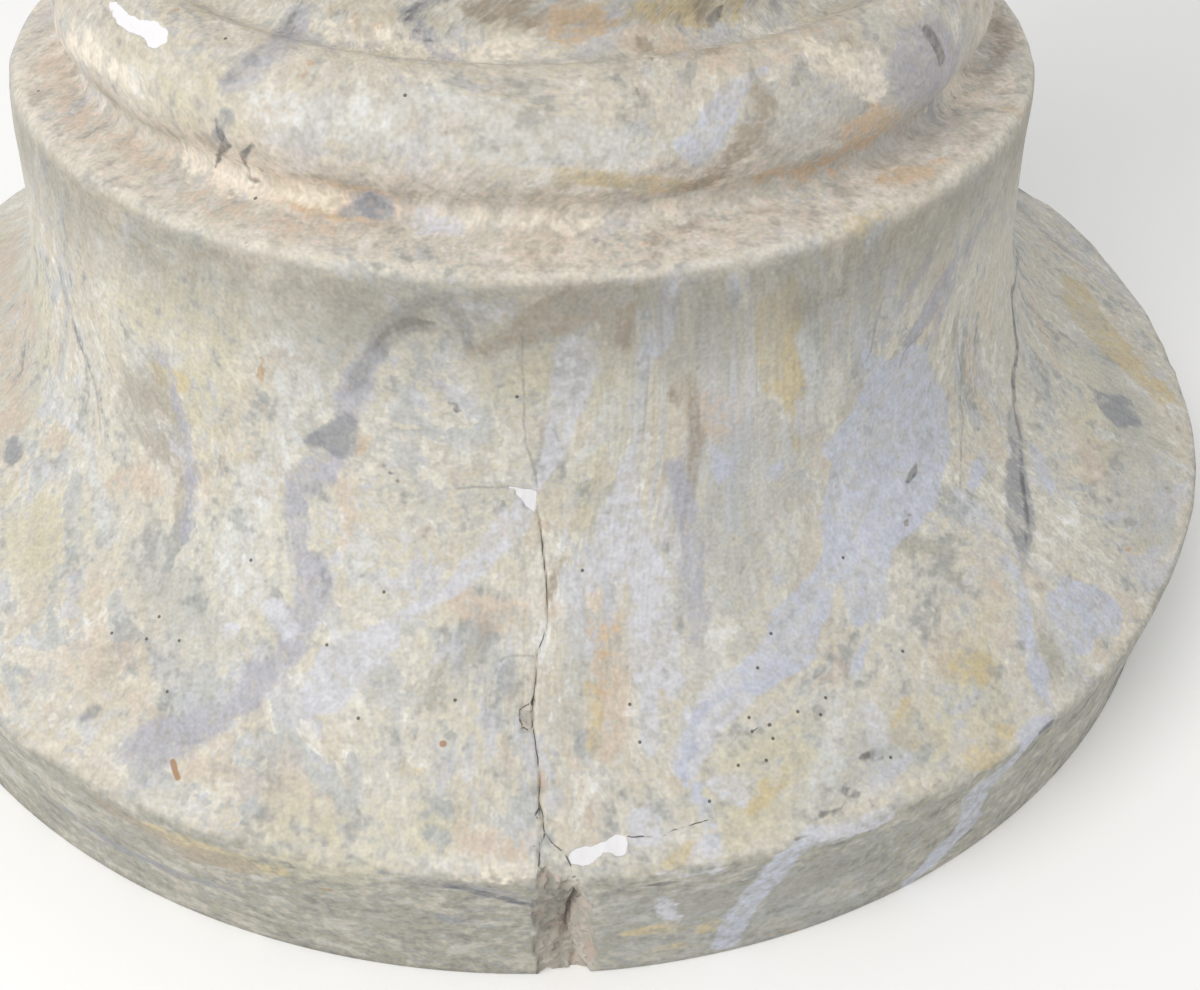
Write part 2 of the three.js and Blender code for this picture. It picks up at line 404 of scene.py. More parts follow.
# Damage, traced in the photograph's pixels: depths and widths in millimetres
damage = {
    "crack": [(536, 508), (541, 530), (545, 560), (548, 590), (548, 622), (544, 642), (537, 654), (536, 680),
              (533, 702), (533, 722), (537, 748), (540, 780), (539, 800), (543, 817), (542, 830), (541, 845),
              (538, 852), (538, 862), (540, 870)],
    "crackDepth": 0.9,
    "crackHalfWidth": 0.16,
    "hairlines": [
        [(542, 830), (546, 837), (552, 844), (559, 848), (565, 853), (569, 863), (574, 873), (579, 882)],
        [(540, 870), (544, 874), (552, 878), (562, 883), (570, 885), (579, 883)],
        [(628, 836), (642, 836), (656, 838), (664, 836), (671, 831), (683, 827), (698, 821), (711, 819)],
        [(519, 720), (519, 708), (528, 704), (535, 700)],
        [(519, 730), (524, 728), (530, 731), (534, 724)],
        [(540, 806), (534, 812), (536, 818)],
        [(541, 844), (537, 847), (533, 846)],
    ],
    "gesso": {
        "atCrackTop": [(507, 489), (536, 492), (537, 518), (530, 512), (519, 500)],
        "aboveBreak": [(567, 851), (577, 848), (591, 846), (602, 842), (614, 836), (620, 834), (627, 837),
                       (629, 840), (626, 848), (626, 856), (618, 856), (604, 852), (592, 864), (585, 865),
                       (571, 864)],
        "onTorus": [(105, 2), (112, 0), (119, 4), (127, 13), (143, 19), (156, 20), (166, 28), (167, 36),
                    (164, 42), (153, 48), (146, 46), (145, 38), (138, 34), (127, 31), (118, 24), (110, 14)],
    },
    "gessoDepth": 0.35,
    "spalls": {
        "leftOfCrack": [(519, 708), (528, 704), (535, 700), (534, 722), (530, 731), (524, 728), (519, 730),
                        (521, 718)],
        "rightOfCrack": [(537, 774), (543, 773), (547, 780), (546, 791), (540, 799), (537, 790)],
    },
    "spallDepth": 0.8,
    "breakLeft": [(0, 3.4), (8, 3.2), (14, 2.6), (20, 3.0), (25, 2.2), (31, 2.8), (36, 3.2), (41, 2.6)],
    "breakRight": [(0, 14.0), (4, 15.0), (8, 15.4), (13, 14.8), (20, 14.2), (26, 13.6), (31, 12.8),
                   (36, 11.4), (38, 9.4), (41, 4.4)],
    "breakFissure": [(0, 11.0), (9, 9.3), (16, 9.6), (22, 10.3), (28, 11.2), (31, 10.2), (36, 7.6),
                     (41, 3.2)],
    "breakDepth": [(0, 3.4), (8, 4.4), (18, 5.0), (27, 4.6), (33, 2.6), (38, 1.3), (41, 0.5)],
    "breakStep": 0.3,
    "breakLeast": 0.15,
    "breakSpan": 0.3,  # radians from the front in which the break lies
    "breakAbove": 0.8,  # millimetres above the rim's edge that it reaches
    "breakBehind": 12,  # millimetres in from the rim's face that it reaches
    "ragged": [(0.45, 6, 21), (0.25, 2.2, 22)],  # height, length and seed of waves
    "rough": [(0.45, 4.5, 23), (0.35, 1.8, 24)],
    "fissure": [(580, 904), (576, 911), (574, 919), (571, 928), (569, 936), (567, 944), (567, 951)],
    "fissureHalfWidth": 0.4,
    "fissureDepth": 3.0,
    "rimWear": 0.9,
}


def byHeight(points):
    # Value at each corner's height, from (height, value) points
    levels, values = np.array(points, float).T
    return np.interp(height, levels, values)


across = reach * fromFront  # millimetres round the skin from the front
leftEdge, rightEdge = byHeight(damage["breakLeft"]), byHeight(damage["breakRight"])
deepest = byHeight(damage["breakFissure"])
ragged = layered(plain, damage["ragged"])
fromLeft = (across - leftEdge - ragged) / np.maximum(deepest - leftEdge, 0.5)
fromRight = (rightEdge - across + 0.6 * ragged) / np.maximum(rightEdge - deepest, 0.5)
inBreak = (np.minimum(fromLeft, fromRight) > 0) & (np.abs(fromFront) < damage["breakSpan"])
inBreak &= height < casting["rimHeight"] + damage["breakAbove"]
inBreak &= reach > level["rimTopRadius"] - damage["breakBehind"]
step = damage["breakStep"]
breakShape = np.clip(np.minimum(step + (1 - step) * fromLeft, 1.4 * step + (1 - step) * fromRight), 0, 1)
breakRough = layered(plain, damage["rough"])
breakCut = byHeight(damage["breakDepth"]) * breakShape + breakRough * breakShape
breakCut = np.where(inBreak, np.maximum(breakCut, damage["breakLeast"]), 0)
breakPale = smooth(-0.6, 0.9, across - deepest + 0.5 * ragged)
breakPale = np.maximum(breakPale, 0.75 * smooth(13.5, 9.5, height + 0.7 * (across - 9)))
onUnderside = rowAlong[:, None] <= rowAlong[rowHeight > 0][0]
insideRim = np.clip((level["rimTopRadius"] - reach) / damage["breakDepth"][0][1], 0, 1)
breakCut = np.where(onUnderside, breakCut * (1 - insideRim), breakCut)

crackWay = lineWay([damage["crack"]])
fissureWay = lineWay([damage["fissure"]])
crackCut = damage["crackDepth"] * np.exp(-((crackWay[..., 2] / damage["crackHalfWidth"]) ** 2))
crackCut += damage["fissureDepth"] * np.exp(-((fissureWay[..., 2] / damage["fissureHalfWidth"]) ** 2))
gessoField = np.min([insideOf(shape) for shape in damage["gesso"].values()], axis=0)
spallField = np.min([insideOf(shape) for shape in damage["spalls"].values()], axis=0)
gessoCut = damage["gessoDepth"] * smooth(0.3, -0.3, gessoField)
chipCut = gessoCut + damage["spallDepth"] * smooth(0.4, -0.8, spallField)
breakPale = np.maximum(breakPale, 0.95 * smooth(0.6, -0.2, spallField) * onFoot)
print("damage placed")

# Hand-made skin: height, length and seed of its long low waves and lumps and of the nicks in the
# rim's worn edge, in millimetres, the width of that wear, and how far both ends stay flat
handMade = {
    "waves": [(0.28, 95, 1), (0.12, 28, 2), (0.05, 9, 3)],
    "nicks": [(1.0, 30, 4), (0.5, 9, 5)],
    "nickLevels": (0.5, 1.7),
    "wearWidth": 3.0,
    "flatEnds": 2.5,
}
ribs = layered(plain, handMade["waves"])
rimTopAlong = np.interp(casting["rimHeight"], rowHeight, rowAlong)
atRimTop = np.exp(-(((along - rimTopAlong) / handMade["wearWidth"]) ** 2))
nicks = smooth(*handMade["nickLevels"], layered(plain, handMade["nicks"]))
wear = damage["rimWear"] * atRimTop * nicks
flatEnds = smooth(0, handMade["flatEnds"], height)
flatEnds = flatEnds * smooth(level["topLevel"], level["topLevel"] - handMade["flatEnds"], height)
inset = (casting["skinInset"] - ribs) * flatEnds + wear + crackCut + chipCut * onFoot
skin = plain - normal * inset[..., None]
radial = np.stack([np.sin(angle), -np.cos(angle), np.zeros_like(angle)], -1)
skin -= radial * breakCut[..., None]
skin[..., 2] = np.clip(skin[..., 2], 0, level["topLevel"])

# Painted marks, traced in the photograph's pixels: strokes are paths with half widths in
# millimetres at their points, patches are closed outlines
paintMarks = {
    "lilac": {
        "patches": {
            "greatFork": [
                (862, 342), (880, 355), (890, 372), (905, 350), (925, 345), (936, 375), (950, 402),
                (952, 432), (945, 470), (935, 505), (918, 528), (898, 536), (890, 560), (886, 600),
                (878, 615), (864, 628), (851, 620), (845, 590), (838, 580), (818, 592), (806, 606),
                (800, 628), (814, 642), (826, 652), (806, 671), (770, 686), (735, 697), (715, 702),
                (703, 720), (692, 755), (686, 768), (702, 786), (710, 804), (718, 830), (724, 862),
                (706, 862), (704, 828), (698, 804), (689, 783), (676, 770), (682, 745), (690, 720),
                (705, 700), (722, 688), (762, 668), (770, 655), (766, 635), (772, 612), (790, 600),
                (812, 582), (826, 550), (824, 520), (832, 465), (822, 446), (835, 430), (851, 415),
                (858, 395), (867, 378), (860, 360)],
            "smallFork": [(708, 446), (720, 444), (730, 458), (744, 446), (746, 456), (736, 474), (727, 486),
                          (720, 490), (712, 474)],
            "smallPair": [(766, 470), (778, 458), (788, 464), (785, 476), (774, 485), (762, 479)],
            "onTorus": [(767, 63), (770, 72), (752, 80), (747, 98), (738, 118), (728, 142), (712, 166),
                        (694, 170), (684, 162), (679, 142), (690, 136), (700, 141), (704, 124), (708, 104),
                        (722, 84), (740, 76)],
            "dot": [(774, 582), (781, 571), (790, 575), (787, 588), (778, 592)],
            "atDarkVein": [(1034, 444), (1046, 456), (1056, 485), (1052, 498), (1040, 482), (1030, 456)],
            "leftOfDarkVein": [(970, 470), (984, 446), (990, 460), (982, 482), (970, 492)],
        },
        "strokes": {
            "overRim": ([(816, 838), (788, 856), (768, 886), (742, 912), (728, 944)],
                        [2.0, 3.4, 3.6, 3.4, 3.0]),
            "overRimRight": ([(1010, 768), (980, 796), (968, 828), (940, 856), (908, 884)],
                             [2.6, 3.6, 3.8, 3.4, 2.6]),
            "forkBranch": ([(822, 598), (792, 640), (756, 676)], [3.0, 4.6, 4.4]),
            "edgeRight": ([(1016, 764), (1030, 738), (1048, 716)], [2.4, 3.0, 2.2]),
            "rightPatch": ([(1062, 612), (1085, 606), (1106, 612)], [5, 6, 5]),
            "farShade": ([(1070, 590), (1080, 640)], [3, 3]),
            "neckStreakD": ([(736, 282), (735, 312)], [1.8, 1.0]),
            "neckStreakE": ([(672, 282), (670, 320), (655, 350)], [1.4, 2.0, 2.4]),
            "rightLine": ([(1008, 562), (1026, 590), (1028, 640), (1042, 680), (1056, 716)],
                          [1, 1.6, 1.8, 2, 2]),
            "lowFork": ([(884, 604), (874, 626), (862, 650), (856, 680)], [1.6, 1.2, 1.0, 0.6]),
        },
    },
    "lilacPale": {
        "patches": {
            "wedgeLeft": [(645, 790), (653, 797), (662, 822), (664, 848), (630, 848), (634, 820)],
            "wedgeRight": [(693, 776), (702, 790), (712, 826), (725, 864), (690, 866), (698, 830)],
            "middleFork": [
                (668, 340), (650, 350), (634, 356), (640, 374), (632, 410), (634, 440), (622, 470),
                (608, 500), (597, 535), (583, 570), (578, 590), (600, 588), (630, 582), (642, 600),
                (650, 640), (660, 690), (676, 700), (684, 680), (680, 640), (670, 600), (665, 556),
                (652, 522), (642, 490), (641, 450), (648, 420), (650, 390), (656, 365)],
            "longDiagonal": [
                (560, 343), (600, 343), (599, 370), (590, 402), (576, 440), (561, 470), (546, 492),
                (530, 520), (513, 540), (500, 560), (480, 575), (462, 586), (448, 600), (425, 616),
                (405, 626), (400, 650), (380, 665), (356, 690), (330, 712), (304, 716), (298, 690),
                (310, 665), (330, 641), (356, 628), (382, 620), (410, 600), (440, 590), (454, 575),
                (465, 560), (485, 545), (495, 520), (512, 505), (522, 498), (536, 470), (549, 445),
                (553, 400)],
            "byCrackLeft": [(268, 600), (284, 600), (298, 626), (292, 641), (278, 630), (266, 616)],
            "smallLeft": [(222, 626), (240, 622), (238, 638), (226, 637)],
        },
        "strokes": {
            "forkBranch": ([(770, 664), (730, 694), (702, 724), (688, 756), (690, 776)],
                           [4.0, 4.6, 3.8, 3.4, 1.6]),
            "byFork": ([(712, 780), (730, 786), (742, 796)], [1.8, 2.4, 1.6]),
            "atRimEdge": ([(888, 818), (850, 832), (816, 842)], [1.8, 2.6, 2.2]),
            "rimEdgeFront": ([(662, 876), (690, 876), (722, 872)], [0.8, 1.2, 0.8]),
            "lowRight": ([(862, 700), (872, 720), (878, 736)], [1.8, 2.6, 1.8]),
            "rimPale": ([(662, 900), (670, 912), (680, 922)], [1.2, 1.8, 1.0]),
            "midGrey": ([(650, 585), (640, 620), (648, 690), (652, 750)], [2.2, 2.4, 2.6, 2.0]),
            "ledgePale": ([(404, 212), (430, 222), (456, 226)], [1.6, 2.4, 1.6]),
        },
    },
    "orange": {
        "patches": {
            "flecksByCrack": [(606, 622), (618, 616), (622, 634), (612, 646), (604, 640)],
            "filletFront": [(542, 8), (600, 4), (622, 22), (600, 40), (566, 46), (544, 34)],
            "torusRightPatch": [(838, 132), (850, 118), (866, 112), (880, 106), (898, 108), (902, 122),
                                (892, 136), (868, 146), (846, 152), (836, 144)],
        },
        "strokes": {
            "torusMiddle": ([(398, 128), (412, 124)], [1.6, 1.6]),
            "torusMiddleB": ([(450, 122), (462, 128)], [2.0, 1.8]),
            "coveHot": ([(258, 184), (300, 196), (350, 203), (394, 210)], [2.0, 3.6, 3.6, 2.0]),
            "torusRightUnder": ([(764, 178), (796, 172), (822, 164), (846, 156)], [1.6, 2.6, 2.8, 2.0]),
            "blotEnd": ([(358, 430), (363, 441), (357, 451)], [0.5, 0.9, 0.5]),
            "speckA": ([(602, 656), (606, 676), (603, 690)], [0.7, 1.0, 0.6]),
            "speckB": ([(556, 612), (570, 606), (576, 616)], [0.9, 1.3, 0.9]),
            "speckC": ([(584, 620), (590, 634)], [0.9, 1.1]),
            "ledgeRight": ([(890, 178), (920, 168), (940, 160)], [2.2, 2.6, 1.8]),
            "ledgeEnd": ([(1018, 112), (1026, 116)], [1.8, 1.4]),
            "filletLeft": ([(340, 24), (372, 30)], [1.0, 1.2]),
            "crackLow": ([(604, 650), (600, 664)], [1.4, 1.2]),
            "stripSide": ([(708, 428), (720, 438)], [1.2, 1.0]),
            "flareLeft": ([(300, 590), (312, 600)], [1.0, 1.0]),
        },
    },
    "violetGrey": {
        "patches": {
            "greyByTorus": [(900, 30), (940, 10), (960, 60), (940, 100), (905, 110), (886, 70)],
            "lowerSweep": [
                (106, 760), (130, 736), (165, 718), (200, 706), (225, 699), (236, 680), (246, 655),
                (272, 654), (302, 640), (302, 660), (278, 680), (266, 702), (245, 713), (216, 732),
                (192, 752), (165, 771), (145, 777), (124, 766)],
            "veinBody": [
                (312, 455), (332, 450), (346, 462), (330, 482), (312, 492), (304, 505), (308, 530),
                (304, 552), (324, 552), (334, 576), (328, 606), (314, 640), (296, 668), (276, 668),
                (282, 644), (288, 620), (291, 590), (290, 560), (286, 520), (284, 490), (298, 465)],
        },
        "strokes": {
            "leftLine": ([(152, 346), (168, 380), (182, 430), (188, 490), (188, 560)],
                         [0.8, 1.2, 1.4, 1.4, 1.0]),
            "neckStreakA": ([(992, 208), (962, 258), (936, 300), (910, 342)], [0.8, 1.8, 2.2, 1.6]),
            "neckStreakB": ([(1004, 196), (978, 240), (952, 290), (936, 340)], [0.6, 1.2, 1.6, 1.6]),
            "neckStreakC": ([(930, 262), (900, 306), (880, 345)], [0.8, 1.4, 1.2]),
            "torusScribble": ([(296, 10), (280, 40), (250, 60), (226, 82)], [2.6, 3.4, 3.4, 2.6]),
            "hookFoot": ([(374, 354), (362, 372), (352, 396), (342, 414)], [1.8, 2.8, 3.4, 2.8]),
            "torusVeinSide": ([(412, 10), (420, 32), (446, 52), (474, 58)], [1.6, 1.4, 1.4, 1.0]),
            "ledgeSpot": ([(356, 204), (386, 208)], [1.6, 1.4]),
            "torusRightA": ([(962, 44), (950, 84), (936, 112)], [1.2, 2.0, 1.4]),
            "torusRightB": ([(930, 52), (918, 90)], [1.4, 1.6]),
            "midGreyRight": ([(676, 470), (690, 520), (694, 580), (700, 640)], [2.6, 3.2, 3.0, 2.0]),
        },
    },
    "greyVein": {
        "patches": {
            "hookBlot": [(392, 326), (404, 318), (440, 325), (416, 334), (398, 333)],
            "veinBlot": [(350, 408), (360, 426), (356, 448), (344, 463), (326, 453), (304, 443), (322, 424)],
            "rightVein": [(1012, 396), (1019, 402), (1025, 440), (1029, 480), (1036, 520), (1031, 560),
                          (1023, 568), (1015, 546), (1006, 520), (1006, 482), (1011, 450), (1008, 420)],
            "ringSpot": [(4, 436), (16, 434), (22, 450), (14, 464), (4, 460)],
            "farPatch": [(1092, 386), (1132, 396), (1146, 426), (1120, 428), (1100, 410)],
        },
        "strokes": {
            "hook": ([(470, 348), (463, 325), (445, 303), (425, 300), (405, 311), (390, 330), (376, 352),
                      (362, 370), (352, 390)], [1.0, 1.7, 2.0, 1.8, 2.2, 2.4, 2.2, 1.6, 1.0]),
            "veinShadow": ([(318, 556), (325, 580), (318, 600)], [0.6, 1.1, 0.6]),
            "torusDashA": ([(298, 4), (288, 22), (276, 34)], [1.2, 1.8, 1.0]),
            "torusDashB": ([(262, 42), (248, 52)], [1.1, 1.2]),
            "torusDashC": ([(250, 58), (234, 70), (222, 80)], [0.9, 1.5, 0.8]),
            "torusDashD": ([(236, 52), (222, 60)], [0.8, 0.8]),
            "torusVeinTop": ([(434, 0), (416, 8), (404, 14), (410, 28), (428, 36)],
                             [1.2, 1.9, 1.7, 1.1, 0.7]),
            "ledgeFlecks": ([(342, 210), (366, 208), (394, 214)], [0.8, 1.3, 0.8]),
            "spotB": ([(80, 718), (94, 710)], [1.4, 1.2]),
            "spotG": ([(426, 380), (440, 392)], [0.7, 0.6]),
            "torusSpot": ([(222, 116), (214, 142)], [1.4, 1]),
            "rimLeft": ([(380, 874), (440, 888), (500, 898), (532, 907)], [0.6, 1.2, 1.8, 1.4]),
            "rimLowLeft": ([(440, 920), (490, 928)], [1.0, 0.8]),
            "rimLeftFar": ([(60, 810), (110, 846), (170, 872), (240, 892)], [1.2, 1.8, 1.6, 1.0]),
            "leftStreakA": ([(56, 262), (64, 300), (80, 350), (96, 396)], [0.6, 1.0, 1.0, 0.6]),
            "leftStreakB": ([(24, 330), (20, 368), (10, 382)], [0.6, 0.9, 0.6]),
        },
    },
    "paleStreak": {
        "patches": {
            "torusFront": [(250, 92), (330, 90), (420, 84), (560, 110), (640, 128), (660, 160), (560, 172),
                           (430, 158), (320, 136), (250, 118)],
            "columnLeft": [(272, 318), (300, 322), (299, 362), (290, 400), (294, 442), (280, 482), (250, 540),
                           (240, 600), (216, 590), (214, 540), (238, 500), (266, 440), (275, 400)],
            "underVein": [(356, 520), (372, 540), (374, 580), (352, 590), (344, 560)],
        },
        "strokes": {
            "leftPale": ([(246, 470), (240, 540), (252, 600)], [2.6, 3.4, 2.2]),
            "leftA": ([(46, 372), (60, 400), (84, 440), (98, 500), (108, 540)], [1.6, 2.4, 1.6, 1.6, 1.2]),
            "leftB": ([(66, 300), (84, 350), (100, 384)], [0.8, 1.2, 0.8]),
            "rightA": ([(664, 560), (674, 600), (678, 640)], [1.0, 1.4, 1.0]),
            "rightB": ([(560, 480), (600, 440), (612, 400)], [1.2, 2.0, 1.2]),
            "farLine": ([(1100, 432), (1150, 448), (1196, 470)], [1.4, 1.6, 1.4]),
            "rightC": ([(800, 340), (812, 380), (804, 430)], [1.2, 1.6, 1.2]),
            "lowRight": ([(840, 700), (830, 760), (810, 800)], [1.6, 2.0, 1.6]),
        },
    },
    "olive": {
        "patches": {
            "leftOfVein": [(128, 362), (150, 350), (168, 384), (184, 440), (184, 500), (186, 560), (176, 530),
                           (166, 480), (144, 452), (118, 420), (112, 392)],
            "rightOval": [(812, 612), (832, 610), (836, 628), (826, 642), (808, 630)],
            "smallRight": [(878, 600), (866, 592), (858, 610), (872, 622)],
        },
        "strokes": {
            "darkVeinSide": ([(1036, 602), (1048, 636), (1060, 672), (1064, 692)], [1.2, 1.8, 1.8, 1.0]),
            "belowFork": ([(898, 540), (930, 546), (956, 556)], [1.8, 2.2, 1.4]),
            "crackSide": ([(480, 640), (450, 670), (430, 700)], [2.4, 3.0, 2.4]),
            "rimRightDark": ([(680, 908), (760, 896), (850, 866)], [4, 5, 4]),
            "neckRight": ([(956, 290), (962, 350), (966, 420)], [1.4, 1.8, 1.4]),
            "neckMid": ([(800, 306), (826, 300), (850, 290)], [1.6, 1.4, 1.0]),
        },
    },
    "brown": {
        "patches": {
            # Brown band on the neck under the ledge, partly painted shade under the ledge's overhang
            "bandUnderLedge": [(556, 284), (642, 286), (640, 330), (634, 354), (610, 352), (602, 326),
                               (575, 327), (548, 338), (520, 352), (500, 356), (508, 338), (528, 316),
                               (546, 300)],
        },
        "strokes": {
            "torusVein": ([(758, 90), (764, 118), (748, 138), (728, 162), (710, 184), (676, 195)],
                          [2.2, 2.8, 2.6, 2.4, 2.2, 1.4]),
            "torusBack": ([(470, 10), (500, 4), (524, 14)], [2.0, 3.0, 2.0]),
            "torusTopEdge": ([(642, 40), (690, 50), (716, 46)], [1.0, 1.6, 1.0]),
            "torusTopSpots": ([(700, 6), (710, 24)], [1.6, 1.2]),
            "bandFoot": ([(470, 352), (492, 350), (512, 344)], [1.4, 2, 1.4]),
            "crackRight": ([(560, 560), (556, 590)], [1.6, 1.2]),
            "orangeSide": ([(674, 396), (682, 406)], [1.2, 1.0]),
            "ledgeRight": ([(1000, 18), (1006, 36), (996, 60)], [2, 2.4, 1.6]),
            "ledgeFar": ([(846, 40), (830, 60)], [3, 3]),
            "lowBand": ([(690, 500), (700, 440), (690, 380)], [1.6, 2.2, 1.4]),
            "rimLeft": ([(100, 806), (180, 850), (250, 868)], [2.0, 3.0, 2.0]),
        },
    },
    "ochre": {
        "patches": {
            "straightStrip": [(760, 306), (770, 294), (781, 289), (792, 285), (797, 300), (799, 340),
                              (806, 372), (812, 392), (804, 400), (785, 398), (768, 397), (762, 370),
                              (759, 340)],
            "aboveRimRight": [(655, 872), (672, 850), (696, 834), (701, 848), (690, 866), (664, 876)],
            "belowFork": [(760, 786), (786, 774), (792, 786), (770, 806), (750, 818), (746, 806)],
            "farStreak": [(1060, 276), (1085, 276), (1110, 320), (1150, 362), (1184, 400), (1164, 402),
                          (1130, 372), (1095, 340), (1070, 312)],
        },
        "strokes": {
            "torusBackRight": ([(640, 8), (690, 14), (740, 8)], [2.0, 3.0, 2.4]),
            "torusLow": ([(560, 176), (620, 186), (690, 190)], [1.6, 2.4, 1.6]),
            "rimSpot": ([(706, 928), (724, 926)], [1.8, 1.4]),
            "rimStreakA": ([(622, 934), (656, 928), (690, 926)], [0.8, 1.3, 0.8]),
            "rimStreakB": ([(644, 954), (680, 948)], [0.8, 0.9]),
            "edgeSpot": ([(978, 756), (1002, 752)], [2.6, 2.2]),
            "ledgeYellow": ([(850, 222), (872, 214), (888, 208)], [1.4, 1.8, 1.2]),
            "stripFoot": ([(790, 396), (796, 430), (796, 462)], [2.6, 2.0, 1.2]),
            "coveEdge": ([(268, 188), (304, 199), (344, 206)], [1.0, 2.0, 1.2]),
            "crackYellow": ([(552, 630), (560, 652), (556, 676)], [0.9, 1.3, 0.9]),
            "crackYellowLow": ([(590, 690), (598, 716), (592, 744)], [1.0, 1.4, 1.0]),
            "leftHotSpot": ([(154, 374), (176, 384)], [2.6, 2.6]),
            "rightSpotA": ([(958, 672), (984, 668)], [3.0, 3.4]),
            "rightSpotB": ([(976, 754), (990, 760)], [2.6, 2.0]),
            "rightSpotC": ([(908, 706), (900, 734), (912, 742)], [1.8, 1.6, 1.4]),
            "rightSpotD": ([(1006, 734), (1016, 728)], [2, 1.6]),
            "ledgeRight": ([(878, 214), (862, 222)], [2, 2]),
            "hotSpotLow": ([(404, 764), (418, 768)], [2.0, 1.6]),
            "rimLeft": ([(280, 872), (220, 858), (150, 830)], [2, 3.4, 2.6]),
        },
    },
    "peach": {
        "patches": {
            "rightOfStrip": [(690, 396), (720, 385), (744, 400), (746, 430), (730, 451), (700, 446),
                             (692, 420)],
        },
        "strokes": {
            "farLeft": ([(6, 240), (20, 330), (10, 420)], [6, 9, 6]),
            "ledgeLeft": ([(46, 60), (60, 90), (100, 130), (160, 160)], [3.0, 3.4, 4.0, 3.4]),
            "ledgeMiddle": ([(196, 190), (260, 212), (320, 226)], [2.4, 3.4, 2.6]),
            "torusTopBand": ([(620, 40), (670, 44), (730, 48), (800, 34), (830, 20)],
                             [3.0, 5.6, 6.4, 5.0, 3.4]),
            "leftBand": ([(108, 486), (140, 480), (180, 488)], [2.6, 3.2, 2.6]),
            "crackWarm": ([(450, 600), (500, 616), (548, 604)], [2.0, 3.0, 2.0]),
            "crackWarmLow": ([(600, 604), (616, 660), (606, 740)], [3.0, 4.4, 3.4]),
            "besideVein": ([(346, 480), (350, 520), (346, 540)], [2.2, 2.6, 1.6]),
            "leftWarm": ([(150, 440), (176, 462)], [3.0, 3.0]),
            "lowLeft": ([(300, 560), (312, 590)], [1.0, 1.0]),
            "nearRim": ([(470, 846), (520, 852), (530, 830)], [3, 3, 2]),
            "farTop": ([(1030, 290), (1044, 330), (1060, 370)], [2.0, 2.6, 2.0]),
            "rightTop": ([(980, 560), (996, 580)], [2.0, 2.6]),
        },
    },
    # Pale warm paint; its strokes in the cove and along the fillet are painted highlight where these catch
    # the light
    "palePaintAndHighlight": {
        "patches": {},
        "strokes": {
            "coveLeft": ([(186, 152), (224, 166), (262, 178), (310, 192), (352, 200)],
                         [2.2, 4.6, 4.0, 2.8, 1.0]),
            "filletLeft": ([(320, 28), (400, 44), (480, 50), (560, 52)], [1.4, 2.0, 2.2, 1.4]),
            "torusCream": ([(820, 50), (850, 64), (880, 76)], [4.0, 5.0, 4.0]),
            "ledgeRightPale": ([(940, 96), (980, 84), (1010, 74)], [3.0, 4.0, 3.0]),
            "torusLeft": ([(70, 20), (90, 50), (130, 84)], [2.4, 3.0, 1.6]),
            "aboveRim": ([(440, 866), (500, 868), (532, 866)], [1.0, 1.6, 1.2]),
            "coveFront": ([(352, 204), (430, 214), (520, 218), (610, 214), (700, 204)],
                          [1.0, 1.6, 1.6, 1.6, 1.0]),
        },
    },
    "yellowWash": {
        "patches": {
            "torusLeft": [(112, 30), (210, 56), (250, 90), (240, 130), (170, 120), (120, 80)],
            "neckBrush": [(600, 350), (632, 352), (628, 400), (618, 446), (600, 490), (584, 520), (576, 490),
                          (590, 440), (598, 400)],
            "leftNeck": [(100, 285), (245, 280), (240, 330), (225, 420), (195, 450), (185, 400), (150, 345),
                         (105, 350)],
            "farLeft": [(0, 220), (34, 226), (46, 300), (36, 420), (0, 440)],
            "leftFlare": [(0, 490), (60, 486), (84, 530), (50, 570), (0, 580)],
            "rightFlare": [(966, 600), (994, 620), (1006, 690), (968, 756), (916, 780), (906, 744),
                           (944, 690)],
            "farSide": [(1060, 340), (1110, 360), (1170, 430), (1180, 480), (1120, 460), (1070, 420)],
            "nearBreak": [(712, 760), (800, 716), (830, 760), (780, 840), (726, 856)],
        },
        "strokes": {
            "lowLeft": ([(420, 830), (300, 850)], [6, 8]),
            "underBand": ([(500, 380), (540, 380)], [4, 5]),
        },
    },
    "greyWash": {
        "patches": {
            "torusRightHalf": [(780, 90), (860, 80), (980, 20), (980, 110), (900, 150), (820, 176),
                               (760, 180)],
            "underHook": [(300, 300), (380, 290), (350, 400), (310, 440), (290, 380)],
            "neckRight": [(800, 280), (900, 260), (880, 360), (850, 420), (810, 440), (804, 360)],
            "besideFork": [(640, 290), (740, 290), (760, 400), (690, 380), (650, 400)],
            "rimRight": [(600, 900), (700, 890), (820, 860), (900, 830), (880, 900), (760, 945), (610, 965)],
            "rightLow": [(850, 720), (930, 740), (860, 800), (800, 820)],
            "besideForkLow": [(690, 400), (812, 410), (826, 480), (812, 560), (764, 620), (750, 650),
                              (700, 690), (672, 640), (684, 500)],
        },
        "strokes": {
            "farLeft": ([(4, 250), (24, 330), (12, 420)], [8, 10, 8]),
            "farSide": ([(1080, 300), (1130, 400), (1150, 520)], [8, 10, 8]),
            "lowMid": ([(566, 640), (574, 680), (566, 720)], [4, 4.6, 3]),
            "torusRight": ([(800, 100), (826, 124), (846, 140)], [3, 4, 3]),
            "torusEnd": ([(900, 40), (950, 80), (920, 130)], [5, 6, 5]),
            "rightMiddle": ([(700, 600), (740, 640)], [6, 6]),
            "lowLeft": ([(150, 560), (200, 640)], [5, 7]),
        },
    },
    "dark": {
        "patches": {},
        "strokes": {
            "dashA": ([(864, 758), (874, 756), (882, 758)], [0.8, 1.0, 0.8]),
            "dashB": ([(845, 790), (852, 793), (860, 793)], [0.8, 1.0, 0.7]),
            "dashC": ([(822, 814), (830, 815), (840, 812)], [0.8, 0.8, 0.9]),
            "dashD": ([(798, 840), (806, 841), (813, 839)], [0.8, 0.9, 0.8]),
            "dashE": ([(867, 801), (875, 804)], [0.8, 0.7]),
            "spotE": ([(450, 402), (458, 412)], [0.8, 0.8]),
